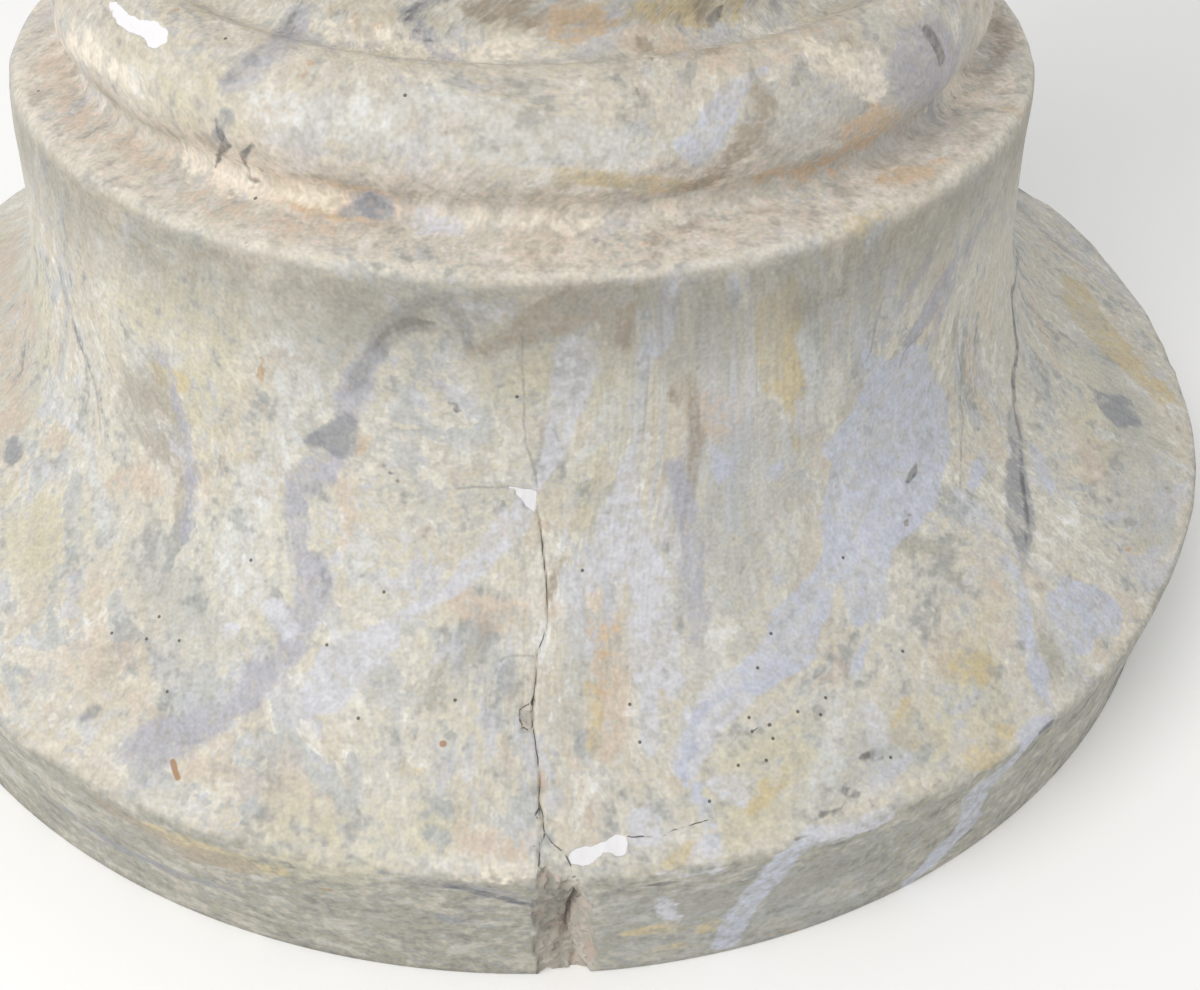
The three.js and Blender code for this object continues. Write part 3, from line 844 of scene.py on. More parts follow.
            "spotF": ([(382, 464), (398, 482)], [0.7, 0.6]),
            "rightVein": ([(1014, 398), (1021, 436), (1023, 480), (1028, 520), (1026, 556)],
                          [0.3, 0.5, 0.6, 0.6, 0.2]),
            "torusVein": ([(428, 2), (408, 12), (406, 20), (420, 34), (442, 44)], [0.3, 0.6, 0.5, 0.4, 0.3]),
            "torusDash": ([(292, 12), (288, 24)], [0.7, 0.6]),
            "coveCurveA": ([(212, 120), (224, 146), (212, 166)], [0.5, 1.0, 0.5]),
            "coveCurveB": ([(252, 146), (240, 160), (244, 176), (256, 182)], [0.4, 0.8, 0.7, 0.4]),
            # Dark line along the neck's right edge: partly a painted vein, partly painted shade where the
            # neck turns away
            "neckRight": ([(1021, 200), (1018, 240), (1012, 290), (1014, 320), (1018, 345), (1014, 375),
                           (1015, 400)],
                          [0.4, 0.6, 0.9, 0.9, 0.9, 0.8, 1.2]),
            "hookCore": ([(372, 350), (386, 333), (408, 322), (436, 324)], [0.3, 0.7, 0.9, 0.3]),
            "torusTopRight": ([(718, 12), (712, 22)], [1, 1]),
            "rimLeft": ([(430, 886), (490, 898), (532, 908)], [0.4, 1.0, 0.8]),
            "rimRight": ([(634, 887), (656, 885), (682, 883)], [0.4, 0.6, 0.4]),
            "rightSpot": ([(1046, 734), (1058, 722)], [1.0, 0.8]),
            "forkSpot": ([(908, 480), (916, 468)], [0.9, 0.9]),
            "ledgeRight": ([(930, 30), (944, 60)], [1.6, 1.6]),
        },
    },
}

markFields = {}
for kind, marks in paintMarks.items():
    reached = [insideOf(shape) for shape in marks["patches"].values()]
    reached += [offsetTo(onSkin(path), widths)[2] for path, widths in marks["strokes"].values()]
    markFields[kind] = np.clip(np.min(reached, axis=0), -12, 30)

thinLines = {
    "aboveCrack": [(522, 336), (522, 352), (523, 376), (525, 400), (524, 425), (527, 446), (532, 466),
                   (536, 488)],
    "scratch": [(452, 490), (480, 489), (508, 490)],
    "byCrack": [(498, 662), (506, 657), (520, 655), (534, 656)],
    "neckRight": [(958, 326), (962, 370), (964, 420), (961, 460), (960, 492)],
    "leftStreakA": [(58, 262), (66, 300), (78, 346), (92, 384), (98, 430)],
    "leftStreakB": [(88, 318), (100, 350), (112, 372)],
    "leftStreakC": [(24, 338), (20, 370), (12, 384)],
    "forkTopA": [(884, 300), (872, 352), (866, 362)],
    "forkTopB": [(924, 330), (904, 352), (900, 372)],
}
thinWay = lineWay(thinLines.values())
print("marks placed")


def skinMesh(name, points, fields):
    # Rows of corners joined into squares round the axis, with the first and last rows drawn into a pole
    rows, count = points.shape[:2]
    corners = np.vstack([points[0].mean(0)[None], points[1:-1].reshape(-1, 3), points[-1].mean(0)[None]])
    inner = rows - 2
    start = 1 + np.arange(inner - 1)[:, None] * count
    near = np.arange(count)[None, :]
    far = (near + 1) % count
    quads = np.stack([start + near, start + far, start + count + far, start + count + near], -1).reshape(-1,
                                                                                                         4)
    last = len(corners) - 1
    lowFan = np.stack([np.zeros(count, int), 1 + far[0], 1 + near[0]], 1)
    highFan = np.stack([np.full(count, last), last - count + near[0], last - count + far[0]], 1)
    mesh = bpy.data.meshes.new(name)
    mesh.from_pydata((corners * mm).tolist(), [], quads.tolist() + lowFan.tolist() + highFan.tolist())
    for key, field in fields.items():
        shape = field.reshape(rows, count, -1)
        flat = np.concatenate([shape[0].mean(0)[None], shape[1:-1].reshape(-1, shape.shape[-1]),
                               shape[-1].mean(0)[None]])
        wide = flat.shape[1] == 3
        layer = mesh.attributes.new(key, "FLOAT_VECTOR" if wide else "FLOAT", "POINT")
        layer.data.foreach_set("vector" if wide else "value", flat.astype(np.float32).ravel())
    mesh.update()
    mesh.polygons.foreach_set("use_smooth", [True] * len(mesh.polygons))
    piece = bpy.data.objects.new(name, mesh)
    bpy.context.scene.collection.objects.link(piece)
    return piece


ledgeAlong = rowAlong[np.argmax(rowHeight > level["ledgeLevel"] - 1.0)]


def near(value, middle, spread):
    # Bell curve round a middle value
    return np.exp(-(((value - middle) / spread) ** 2))


# Where zones of colour fade in and out, in millimetres along the outline from rim edge, ledge or
# groove, and the part that the photograph shows, in radians from the front and by height
zones = {
    "rim": (0.5, -3.5),
    "ledgeArris": 2.4,
    "rimArris": (0.6, 2.6, 0.35),  # place, width and strength
    "dust": ((-26, -8), (24, 4)),
    "ledge": ((-2, 3), (31, 20)),
    # below the ledge, where darker paint stands for dirt and for shade under its overhang
    "grime": ((-34, -6), (0, -4)),
    "torus": ((20, 30), (6, -4)),
    "seenAngle": (1.95, 1.5),
    "seenHeight": (22, 6),
}


def zoneFields(z):
    # Where the casting's zones lie, each from 0 to 1: faded in from one place and out from another
    below = rowHeight < level["shaftFoot"]
    groove = np.interp(level["shaftFoot"] - 0.5, rowHeight[below], rowAlong[below])
    rimPlace, rimWidth, rimStrength = z["rimArris"]
    arris = near(along, ledgeAlong, z["ledgeArris"])
    arris = arris + rimStrength * near(along, rimTopAlong + rimPlace, rimWidth)
    spans = {
        "onLedge": (ledgeAlong, ledgeAlong, z["ledge"]),
        "underLedge": (ledgeAlong, ledgeAlong, z["grime"]),
        "onTorus": (ledgeAlong, groove, z["torus"]),
        "grooveDust": (groove, groove, z["dust"]),
    }
    found = {key: faded(low, span[0], along) * faded(high, span[1], along)
             for key, (low, high, span) in spans.items()}
    found["onRim"] = faded(rimTopAlong, z["rim"], along) * (height > 0.01)
    found["arris"] = np.clip(arris, 0, 1)
    seen = faded(0, z["seenAngle"], np.abs(fromFront)) * faded(level["shaftFoot"], z["seenHeight"], height)
    found["unseen"] = 1 - seen
    return found


fields = {key + "Mark": field for key, field in markFields.items()}
fields.update(zoneFields(zones))
fields["crackWay"] = lineWay([damage["crack"], *damage["hairlines"]])
fields["thinWay"] = thinWay
fields["gessoField"] = np.clip(gessoField * onFoot + 30 * ~onFoot, -10, 30)
fields["broken"] = np.clip(smooth(0.05, 0.35, breakCut) + smooth(0.3, -0.2, spallField) * onFoot, 0, 1)
fields["breakPale"] = breakPale


# Pace of the brush up the casting, more on rings and rim, and its swirls and clouds in millimetres
brush = {
    "pace": 0.6,
    "ringPace": 0.75,
    "rimPace": 0.85,
    "rings": ((-16, 2), (34, 14)),
    "rim": (6, -4),
    "cylinder": 0.4,  # share of ledge and rim radius together
    "swirl": 5.0,
    "swirlLength": 62,
    "swirlSeeds": (51, 52, 53),
    "clouds": [(0.075, 34), (0.045, 12)],
    "cloudSeeds": (41, 43, 45),
}


def brushField(b):
    # Way of the brush: position on a cylinder, its climb paced so that dabs run up and down the flare
    # and shaft but round the rim and rings, straight across top and underside, swirled by long waves
    shaftFoot = rowAlong[np.argmax(rowHeight > level["shaftFoot"])]
    onRings = faded(ledgeAlong, b["rings"][0], rowAlong) * faded(shaftFoot, b["rings"][1], rowAlong)
    climb = b["pace"] + b["ringPace"] * onRings + b["rimPace"] * faded(rimTopAlong, b["rim"], rowAlong)
    onTop, underneath = rowHeight > level["topLevel"] - tiny, rowHeight < tiny
    climb = np.where(onTop | underneath, 0, climb)
    climb = np.concatenate([[0], np.cumsum(np.diff(rowAlong) * climb[1:])])
    capEdge = np.where(underneath, rowRadius[underneath].max(), level["slabRadius"] - casting["slabEase"])
    out = b["cylinder"] * (level["ledgeRadius"] + level["rimTopRadius"])
    out = out * np.where(onTop | underneath, rowRadius / capEdge, 1.0)
    way = placed(out[:, None] + 0 * angle, columns[None, :] + 0 * angle, climb[:, None] + 0 * angle)
    swirls = [waves(way, b["swirlLength"], seed) for seed in b["swirlSeeds"]]
    return way + b["swirl"] * np.stack(swirls, -1)


def cloudField(way, seed, b):
    # Broad cloud round one half: long waves and shorter ones
    (high, long), (low, short) = b["clouds"]
    return 0.5 + high * waves(way, long, seed) + low * waves(way, short, seed + 1)


brushWay = brushField(brush)
fields["brushWay"] = brushWay * mm
fields["clouds"] = np.stack([cloudField(brushWay, seed, brush) for seed in brush["cloudSeeds"]], -1)

pits = {
    "places": [(750, 717), (774, 738), (739, 765), (799, 711), (822, 714), (845, 557), (158, 616), (110, 632),
               (178, 640), (166, 691), (455, 700), (640, 742), (250, 560), (905, 650), (583, 571),
               (759, 667), (384, 592), (404, 93), (254, 195)],
    "placesBetween": [(753, 731), (771, 724), (767, 760), (827, 697), (710, 801), (145, 638), (327, 645),
                      (358, 718), (517, 399), (630, 704), (772, 633), (224, 35), (38, 90), (892, 757)],
    "scars": [(172, 762), (173.5, 767), (175, 772), (177, 777), (442, 743)],
    "halfWidth": 0.46,
    "scarHalfWidth": 0.8,
    "reach": 60,
    "guard": 2.2,  # no pit is drawn further than this from its place, in millimetres
    "strength": 0.85,
}


def wayTo(path):
    # Offset on the skin to the nearest of some places, across and along, which the material measures
    spots = onSkin(path)
    sideways = (fromFront[..., None] - spots[:, 0]) * reach[..., None]
    upwards = along[..., None] - spots[:, 1]
    nearest = np.argmin(np.hypot(sideways, upwards), -1)[..., None]
    pick = [np.take_along_axis(part, nearest, -1)[..., 0] for part in (sideways, upwards)]
    return np.stack([pick[0], pick[1], np.hypot(*pick)], -1)


for key, places in [("pitWay", "places"), ("pitWayBetween", "placesBetween"), ("scarWay", "scars")]:
    fields[key] = np.clip(wayTo(pits[places]), -pits["reach"], pits["reach"])

pedestal = skinMesh("castPedestal", skin, fields)
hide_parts("pedestal")
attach(pedestal, "root")
print("casting built", len(pedestal.data.polygons), "faces")


paintLoad = 0.845  # paints reflect this much of their screen colour, as the light is stronger than white


def paint(red, green, blue):
    # Linear colour of a paint mixed on a screen, 0 to 255
    screen = np.array([red, green, blue]) / 255
    linear = np.where(screen < 0.04045, screen / 12.92, ((screen + 0.055) / 1.055) ** 2.4)
    return (*(linear * paintLoad), 1.0)


def addNode(tree, kind, sockets=None, **settings):
    # A node with its settings; a socket takes either a plain value or a link from another socket
    made = tree.nodes.new(kind)
    for key, value in settings.items():
        setattr(made, key, value)
    for key, value in (sockets or {}).items():
        if isinstance(value, bpy.types.NodeSocket):
            tree.links.new(value, made.inputs[key])
        else:
            made.inputs[key].default_value = value
    return made


def sums(tree, operation, *terms):
    return addNode(tree, "ShaderNodeMath", dict(enumerate(terms)), operation=operation).outputs[0]


def product(tree, first, *others):
    for other in others:
        first = sums(tree, "MULTIPLY", first, other)
    return first


def stepped(tree, value, low, high, lowTo=0.0, highTo=1.0):
    # Smooth step of a value between two levels, or the other way round where low is above high
    sockets = {"Value": value, "From Min": low, "From Max": high, "To Min": lowTo, "To Max": highTo}
    return addNode(tree, "ShaderNodeMapRange", sockets, interpolation_type="SMOOTHSTEP").outputs[0]


def blended(tree, share, under, over, how="MIX"):
    sockets = {0: share, 6: under, 7: over}
    return addNode(tree, "ShaderNodeMix", sockets, data_type="RGBA", blend_type=how).outputs[2]


def fieldOf(tree, key, output="Fac"):
    return addNode(tree, "ShaderNodeAttribute", attribute_name=key, attribute_type="GEOMETRY").outputs[output]


def noiseNode(tree, way, scale, detail=3.0, roughness=0.55):
    sockets = {"Vector": way, "Scale": scale, "Detail": detail, "Roughness": roughness}
    return addNode(tree, "ShaderNodeTexNoise", sockets, noise_dimensions="3D")


def mapped(tree, way, scale=(1, 1, 1), place=(0, 0, 0)):
    sockets = {"Vector": way, "Scale": scale, "Location": place}
    return addNode(tree, "ShaderNodeMapping", sockets).outputs[0]


def placedGroup(tree, group, **sockets):
    # A group in a material with its own values: a socket's name is written without spaces
    made = addNode(tree, "ShaderNodeGroup", node_tree=group)
    for socket in made.inputs:
        value = sockets.get(socket.name.replace(" ", ""))
        if isinstance(value, bpy.types.NodeSocket):
            tree.links.new(value, socket)
        elif value is not None:
            socket.default_value = value
    return made.outputs


def shaderGroup(name, inputs, outputs):
    # An empty group with named sockets: kind and starting value of each
    group = bpy.data.node_groups.new(name, "ShaderNodeTree")
    for key, (kind, value) in inputs.items():
        socket = group.interface.new_socket(key, in_out="INPUT", socket_type="NodeSocket" + kind)
        if value is not None:
            socket.default_value = value
    for key, kind in outputs.items():
        group.interface.new_socket(key, in_out="OUTPUT", socket_type="NodeSocket" + kind)
    return group, addNode(group, "NodeGroupInput").outputs, addNode(group, "NodeGroupOutput")


def strokeGroup():
    # Mask of a painted mark: inside a field's wandering zero line, thinned where the brush ran dry
    kinds = {
        "Field": ("Float", 10.0),
        "Wander": ("Float", 0.0),
        "Wobble": ("Float", 3.0),
        "Softness": ("Float", 1.0),
        "Dryness": ("Float", 0.5),
        "Thinness": ("Float", 0.5),
        "Strength": ("Float", 1.0),
    }
    group, given, result = shaderGroup("brushMark", kinds, {"Mask": "Float"})
    edge = sums(group, "MULTIPLY_ADD", given["Wander"], given["Wobble"], given["Field"])
    inside = stepped(group, edge, given["Softness"], product(group, given["Softness"], -1.0))
    thinnest = sums(group, "SUBTRACT", 1.0, given["Thinness"])
    covered = sums(group, "MULTIPLY_ADD", given["Dryness"], given["Thinness"], thinnest)
    group.links.new(product(group, inside, covered, given["Strength"]), result.inputs["Mask"])
    return group


def lineGroup():
    # Mask of a thin line: length of the shaken way to it, kept only where the guard says it is near
    kinds = {
        "Way": ("Vector", None),
        "Shake": ("Vector", None),
        "Half Width": ("Float", 0.2),
        "Blur": ("Float", 0.2),
        "Guard": ("Float", 2.6),
    }
    group, given, result = shaderGroup("thinLine", kinds, {"Mask": "Float"})
    parts = addNode(group, "ShaderNodeSeparateXYZ", {0: given["Way"]}).outputs
    shaken = addNode(group, "ShaderNodeVectorMath", {0: given["Way"], 1: given["Shake"]},
                     operation="ADD").outputs[0]
    flat = addNode(group, "ShaderNodeVectorMath", {0: shaken, 1: (1, 1, 0)}, operation="MULTIPLY").outputs[0]
    length = addNode(group, "ShaderNodeVectorMath", {0: flat}, operation="LENGTH").outputs["Value"]
    line = stepped(group, length, sums(group, "ADD", given["Half Width"], given["Blur"]), given["Half Width"])
    kept = stepped(group, parts["Z"], given["Guard"], product(group, given["Guard"], 0.65))
    group.links.new(product(group, line, kept), result.inputs["Mask"])
    return group


def flakeGroup():
    # Cells with random values for dabs laid side by side, and dots in the middle of a share of them
    kinds = {
        "Way": ("Vector", None),
        "Warp": ("Vector", None),
        "Scale": ("Float", 200.0),
        "Dot Size": ("Float", 0.2),
        "Share": ("Float", 0.1),
    }
    outputs = {"First": "Float", "Second": "Float", "Third": "Float", "Dots": "Float"}
    group, given, result = shaderGroup("dabsAndDots", kinds, outputs)
    sockets = {0: given["Warp"], 1: (0.012, 0.012, 0.012), 2: given["Way"]}
    bent = addNode(group, "ShaderNodeVectorMath", sockets, operation="MULTIPLY_ADD").outputs[0]
    cells = addNode(group, "ShaderNodeTexVoronoi", {"Vector": bent, "Scale": given["Scale"]},
                    feature="F1").outputs
    channels = addNode(group, "ShaderNodeSeparateColor", {"Color": cells["Color"]}).outputs
    for key, channel in zip(outputs, ("Red", "Green", "Blue")):
        group.links.new(channels[channel], result.inputs[key])
    size = product(group, given["Dot Size"], sums(group, "MULTIPLY_ADD", channels["Green"], 0.9, 0.4))
    dot = stepped(group, cells["Distance"], size, product(group, size, 0.6))
    chosen = sums(group, "LESS_THAN", channels["Red"], given["Share"])
    group.links.new(product(group, dot, chosen), result.inputs["Dots"])
    return group


def veinGroup():
    # Wandering lines where a stretched noise passes its middle, kept only in some patches
    kinds = {
        "Way": ("Vector", None),
        "Scale": ("Float", 14.0),
        "Width": ("Float", 0.03),
        "Patches": ("Float", 0.5),
        "Patchiness": ("Float", 0.5),
        "Unevenness": ("Float", 0.5),
    }
    group, given, result = shaderGroup("brushedVeins", kinds, {"Mask": "Float"})
    course = noiseNode(group, given["Way"], given["Scale"], 1.0, 0.5).outputs["Fac"]
    course = sums(group, "MULTIPLY_ADD", given["Unevenness"], 0.09, sums(group, "SUBTRACT", course, 0.045))
    away = sums(group, "ABSOLUTE", sums(group, "SUBTRACT", course, 0.5))
    width = product(group, given["Width"], sums(group, "MULTIPLY_ADD", given["Unevenness"], 2.4, -0.4))
    line = stepped(group, away, width, product(group, width, 0.3))
    kept = stepped(group, given["Patches"], given["Patchiness"], sums(group, "ADD", given["Patchiness"], 0.1))
    group.links.new(product(group, line, kept), result.inputs["Mask"])
    return group


def sandGroup():
    # Fine grain of the cast and brushed skin: sand, lumps and brush lines
    kinds = {"Way": ("Vector", None), "Brush Way": ("Vector", None)}
    group, given, result = shaderGroup("sandyGrain", kinds,
                                       {"Tone": "Float", "Height": "Float", "Lumps": "Float"})
    sand = noiseNode(group, given["Way"], 1300.0, 0.0).outputs["Fac"]
    lumps = noiseNode(group, given["Way"], 420.0, 1.0, 0.7).outputs["Fac"]
    brush = noiseNode(group, mapped(group, given["Brush Way"], (1, 1, 0.5)), 900.0, 0.0).outputs["Fac"]
    tone = sums(group, "MULTIPLY_ADD", sand, 0.8,
                sums(group, "MULTIPLY_ADD", lumps, 0.5, product(group, brush, 0.5)))
    group.links.new(sums(group, "SUBTRACT", tone, 0.9), result.inputs["Tone"])
    rough = sums(group, "MULTIPLY_ADD", lumps, 1.8, product(group, brush, 0.9))
    group.links.new(rough, result.inputs["Height"])
    group.links.new(lumps, result.inputs["Lumps"])
    return group


paints = {
    "ground": [(0.38, paint(174, 174, 170)), (0.425, paint(188, 187, 180)), (0.435, paint(200, 198, 190)),
               (0.465, paint(204, 202, 193)), (0.475, paint(213, 208, 194)), (0.505, paint(214, 208, 191)),
               (0.512, paint(206, 203, 195)), (0.54, paint(212, 208, 199)), (0.55, paint(221, 217, 204)),
               (0.585, paint(219, 215, 202)), (0.6, paint(226, 224, 218)), (0.66, paint(232, 231, 227))],
    "warmGround": paint(211, 201, 182),
    "coolGround": paint(186, 190, 193),
    "lilacGround": paint(204, 205, 211),
    "yellowWash": paint(207, 201, 174),
    "greyWash": paint(175, 178, 178),
    "olive": paint(161, 158, 148),
    "brown": paint(168, 156, 140),
    "ochre": paint(207, 191, 152),
    "peach": paint(208, 190, 172),
    "palePaintAndHighlight": paint(240, 231, 215),
    "greyVein": paint(150, 152, 157),
    "violetGrey": paint(179, 179, 188),
    "paleStreak": paint(213, 215, 214),
    "lilac": paint(198, 202, 214),
    "lilacPale": paint(211, 212, 219),
    "orange": paint(209, 185, 156),
    "peachGround": paint(211, 195, 180),
    "dark": paint(108, 108, 110),
    "rim": [(0.36, paint(144, 142, 131)), (0.43, paint(156, 156, 150)), (0.44, paint(168, 164, 146)),
            (0.48, paint(166, 163, 148)), (0.49, paint(160, 161, 157)), (0.53, paint(171, 170, 162)),
            (0.54, paint(182, 176, 158)), (0.64, paint(190, 188, 182))],
    "ledge": [(0.38, paint(191, 179, 164)), (0.45, paint(203, 193, 180)), (0.49, paint(209, 201, 188)),
              (0.52, paint(215, 205, 190)), (0.56, paint(223, 214, 202)), (0.64, paint(231, 225, 217))],
    "grooveDust": paint(170, 157, 138),
    "wornEdge": paint(228, 221, 206),
    "grime": paint(148, 143, 130),
    "gesso": paint(247, 246, 249),
    "broken": paint(160, 157, 148),
    "brokenPale": paint(210, 202, 190),
    "crack": paint(78, 72, 64),
    "fleckOrange": paint(196, 156, 112),
    "fleckBrown": paint(128, 110, 92),
    "fleckPink": paint(208, 180, 164),
    "scar": paint(168, 122, 78),
}

# Scales are per metre; shares and strengths run from 0 to 1; spans give where a value starts to count
# and where it counts in full
finish = {
    "dabs": (130.0, 3.0, 0.68),  # scale, detail and roughness
    "streakNoise": (420.0, 1.0, 0.6),
    "flakeScale": 190.0,
    "dotSize": 0.24,
    "dotShare": 0.04,
    "dotStrength": 0.55,
    "shake": 1.8,
    "dryness": (0.455, 0.525),
    # Ground colour, noise that places it, its span, cloud that holds it, share
    "grounds": [
        ("warmGround", "patchy", (0.57, 0.59), 1, 0.65),
        ("coolGround", "patchy", (0.51, 0.49), 2, 0.6),
        ("peachGround", "other", (0.48, 0.46), 1, 0.45),
        ("lilacGround", "other", (0.61, 0.63), 2, 0.7),
    ],
    "groundCloud": (0.42, 0.6),
    "veinScale": 9.0,
    "veinWidth": 0.055,
    "veinPatchiness": 0.46,
    "veinStrength": 0.85,
    "thinHalfWidth": 0.08,
    "thinBlur": 0.42,
    "thinStrength": 0.38,
    "dust": 0.35,
    "worn": 0.7,
    "pinkFlecks": 0.3,
    # painted light: how much lighter the torus is made
    "torusTone": 0.075,
    "crackBlur": 0.17,
    "crackStrength": 0.85,
    "scarStrength": 0.8,
    "bareRoughness": 0.92,
    "chipRelief": -1.2,
    "crumbRelief": 3.0,
    "streaks": 0.2,
    "flakes": 0.05,
    "grain": 0.38,
    "grime": 0.7,
    "rimTone": 0.9,
    "ledgeTone": 0.75,
    "roughness": 0.62,
    "grainHeight": 0.0001,
    "crackHalfWidth": 0.06,
    # Name of the marks, wobble of their edge and its softness in millimetres, thinness, strength
    "marks": [
        ("yellowWash", 6.0, 5.0, 0.8, 0.62),
        ("greyWash", 6.0, 5.0, 0.7, 0.5),
        ("peach", 4.0, 1.6, 0.8, 0.65),
        ("ochre", 2.8, 0.9, 0.55, 0.8),
        ("orange", 2.8, 1.0, 0.7, 0.85),
        ("olive", 3.8, 1.6, 0.8, 0.6),
        ("brown", 3.0, 1.0, 0.5, 0.85),
        ("palePaintAndHighlight", 3.4, 1.2, 0.5, 0.9),
        ("paleStreak", 3.2, 0.8, 0.7, 0.7),
        ("violetGrey", 2.8, 1.0, 0.45, 0.85),
        ("lilacPale", 2.6, 0.6, 0.5, 0.85),
        ("lilac", 2.2, 0.6, 0.4, 0.92),
        ("greyVein", 1.8, 0.8, 0.5, 0.85),
        ("dark", 0.6, 0.35, 0.35, 0.85),
    ],
}


def rampOf(tree, value, stops):
    # Colour for a value between some stops
    node = addNode(tree, "ShaderNodeValToRGB", {0: value})
    while len(node.color_ramp.elements) < len(stops):
        node.color_ramp.elements.new(1.0)
    for element, (position, colour) in zip(node.color_ramp.elements, stops):
        element.position = position
        element.color = colour
    return node.outputs[0]


def paintedPlaster(stroke, line, flake, veins, sand):
    # Faux marble laid in order: clouded cream, washes, veins, painted shade, specks, wear with a painted
    # highlight, chips and cracks
    material = bpy.data.materials.new("fauxMarblePlaster")
    material.use_nodes = True
    tree = material.node_tree
    tree.nodes.clear()
    here = addNode(tree, "ShaderNodeTexCoord").outputs["Object"]
    brushWay = fieldOf(tree, "brushWay", "Vector")
    unseen, onRim, onLedge = (fieldOf(tree, key) for key in ("unseen", "onRim", "onLedge"))
    clouds = addNode(tree, "ShaderNodeSeparateXYZ", {0: fieldOf(tree, "clouds", "Vector")}).outputs
    grain = placedGroup(tree, sand, Way=here, BrushWay=brushWay)
    dabNode = noiseNode(tree, brushWay, *finish["dabs"])
    dabs = addNode(tree, "ShaderNodeSeparateColor", {"Color": dabNode.outputs["Color"]}).outputs
    streaks = noiseNode(tree, here, *finish["streakNoise"]).outputs["Fac"]
    flakes = placedGroup(tree, flake, Way=brushWay, Warp=dabNode.outputs["Color"], Scale=finish["flakeScale"],
                         DotSize=finish["dotSize"], Share=finish["dotShare"])
    wander = sums(tree, "MULTIPLY_ADD", dabs[2], 3.0, sums(tree, "MULTIPLY_ADD", flakes["First"], 0.3, -1.65))
    shake = addNode(tree, "ShaderNodeVectorMath", {0: dabNode.outputs["Color"], 1: (0.5, 0.5, 0.5)},
                    operation="SUBTRACT").outputs[0]
    shaken = addNode(tree, "ShaderNodeVectorMath", {0: shake, "Scale": finish["shake"]},
                     operation="SCALE").outputs[0]

    # Ground: dabs of grey, cream and pale paint over broad warm, cool and lilac clouds
    mixture = sums(tree, "MULTIPLY_ADD", dabs[0], 0.5, product(tree, clouds[0], 0.3))
    mixture = sums(tree, "MULTIPLY_ADD", streaks, 0.15,
                   sums(tree, "MULTIPLY_ADD", flakes["First"], 0.05, mixture))
    colour = rampOf(tree, mixture, paints["ground"])
    noises = {"patchy": sums(tree, "MULTIPLY_ADD", flakes["Second"], 0.1, dabs[1]),
              "other": sums(tree, "MULTIPLY_ADD", flakes["Third"], 0.1, dabs[2])}
    for key, noise, span, cloud, share in finish["grounds"]:
        held = stepped(tree, clouds[cloud], *finish["groundCloud"])
        colour = blended(tree, product(tree, stepped(tree, noises[noise], *span), held, share), colour,
                         paints[key])
    # The rim's greyer paint, also darkened to stand in for shade on its upright face
    bandMixture = sums(tree, "MULTIPLY_ADD", dabs[0], 0.75, product(tree, streaks, 0.25))
    colour = blended(tree, product(tree, onRim, finish["rimTone"]), colour,
                     rampOf(tree, bandMixture, paints["rim"]))
    ledgeShare = product(tree, onLedge, finish["ledgeTone"], stepped(tree, clouds[1], 0.36, 0.54, 0.3))
    colour = blended(tree, ledgeShare, colour, rampOf(tree, bandMixture, paints["ledge"]))

    dryness = sums(tree, "MULTIPLY_ADD", dabs[1], 0.6, product(tree, streaks, 0.4))
    dryness = stepped(tree, dryness, *finish["dryness"])

    # Traced washes and veins, and freer ones where the photograph doesn't show the casting
    for key, wobble, softness, thinness, strength in finish["marks"]:
        mask = placedGroup(tree, stroke, Field=fieldOf(tree, key + "Mark"), Wander=wander, Wobble=wobble,
                           Softness=softness, Dryness=dryness, Thinness=thinness, Strength=strength)
        colour = blended(tree, mask["Mask"], colour, paints[key])
    freeVein = placedGroup(tree, veins, Way=mapped(tree, brushWay, (1, 1, 0.7)), Scale=finish["veinScale"],
                           Width=finish["veinWidth"], Patches=clouds[0], Patchiness=finish["veinPatchiness"],
                           Unevenness=dabs[0])["Mask"]
    veinColour = blended(tree, stepped(tree, clouds[1], 0.5, 0.54), paints["lilac"], paints["greyVein"])
    colour = blended(tree, product(tree, freeVein, unseen, finish["veinStrength"]), colour, veinColour)
    thin = placedGroup(tree, line, Way=fieldOf(tree, "thinWay", "Vector"), Shake=shaken,
                       HalfWidth=finish["thinHalfWidth"], Blur=finish["thinBlur"])["Mask"]
    thinShare = product(tree, thin, stepped(tree, streaks, 0.36, 0.5, 0.3), finish["thinStrength"])
    colour = blended(tree, thinShare, colour, paints["dark"])

    # Painted shade and dirt under the ledge, worn arrises with a painted highlight, specks and grain
    # Darker paint on the neck under the ledge: dirt, and painted shade under the ledge's overhang
    shadeAndGrimeShare = product(tree, fieldOf(tree, "underLedge"), stepped(tree, bandMixture, 0.36, 0.56, 0.35),
                         finish["grime"])
    colour = blended(tree, shadeAndGrimeShare, colour, paints["grime"])
    dustShare = product(tree, fieldOf(tree, "grooveDust"), stepped(tree, dabs[2], 0.34, 0.6, 0.2),
                        finish["dust"])
    colour = blended(tree, dustShare, colour, paints["grooveDust"])
    # Pale paint along the ledge and rim arrises: worn paint, and a painted highlight on the rounded edge
    worn = product(tree, fieldOf(tree, "arris"), stepped(tree, bandMixture, 0.42, 0.56, 0.3), finish["worn"])
    colour = blended(tree, worn, colour, paints["wornEdge"])
    speckColour = blended(tree, stepped(tree, clouds[1], 0.44, 0.5), paints["fleckBrown"],
                          paints["fleckOrange"])
    colour = blended(tree, product(tree, flakes["Dots"], finish["dotStrength"]), colour, speckColour)
    pinkShare = product(tree, stepped(tree, grain["Lumps"], 0.54, 0.66), onLedge, finish["pinkFlecks"])
    colour = blended(tree, pinkShare, colour, paints["fleckPink"])
    tone = sums(tree, "MULTIPLY_ADD", streaks, finish["streaks"], 1.0 - 0.5 * finish["streaks"])
    tone = sums(tree, "MULTIPLY_ADD", flakes["First"], finish["flakes"], tone)
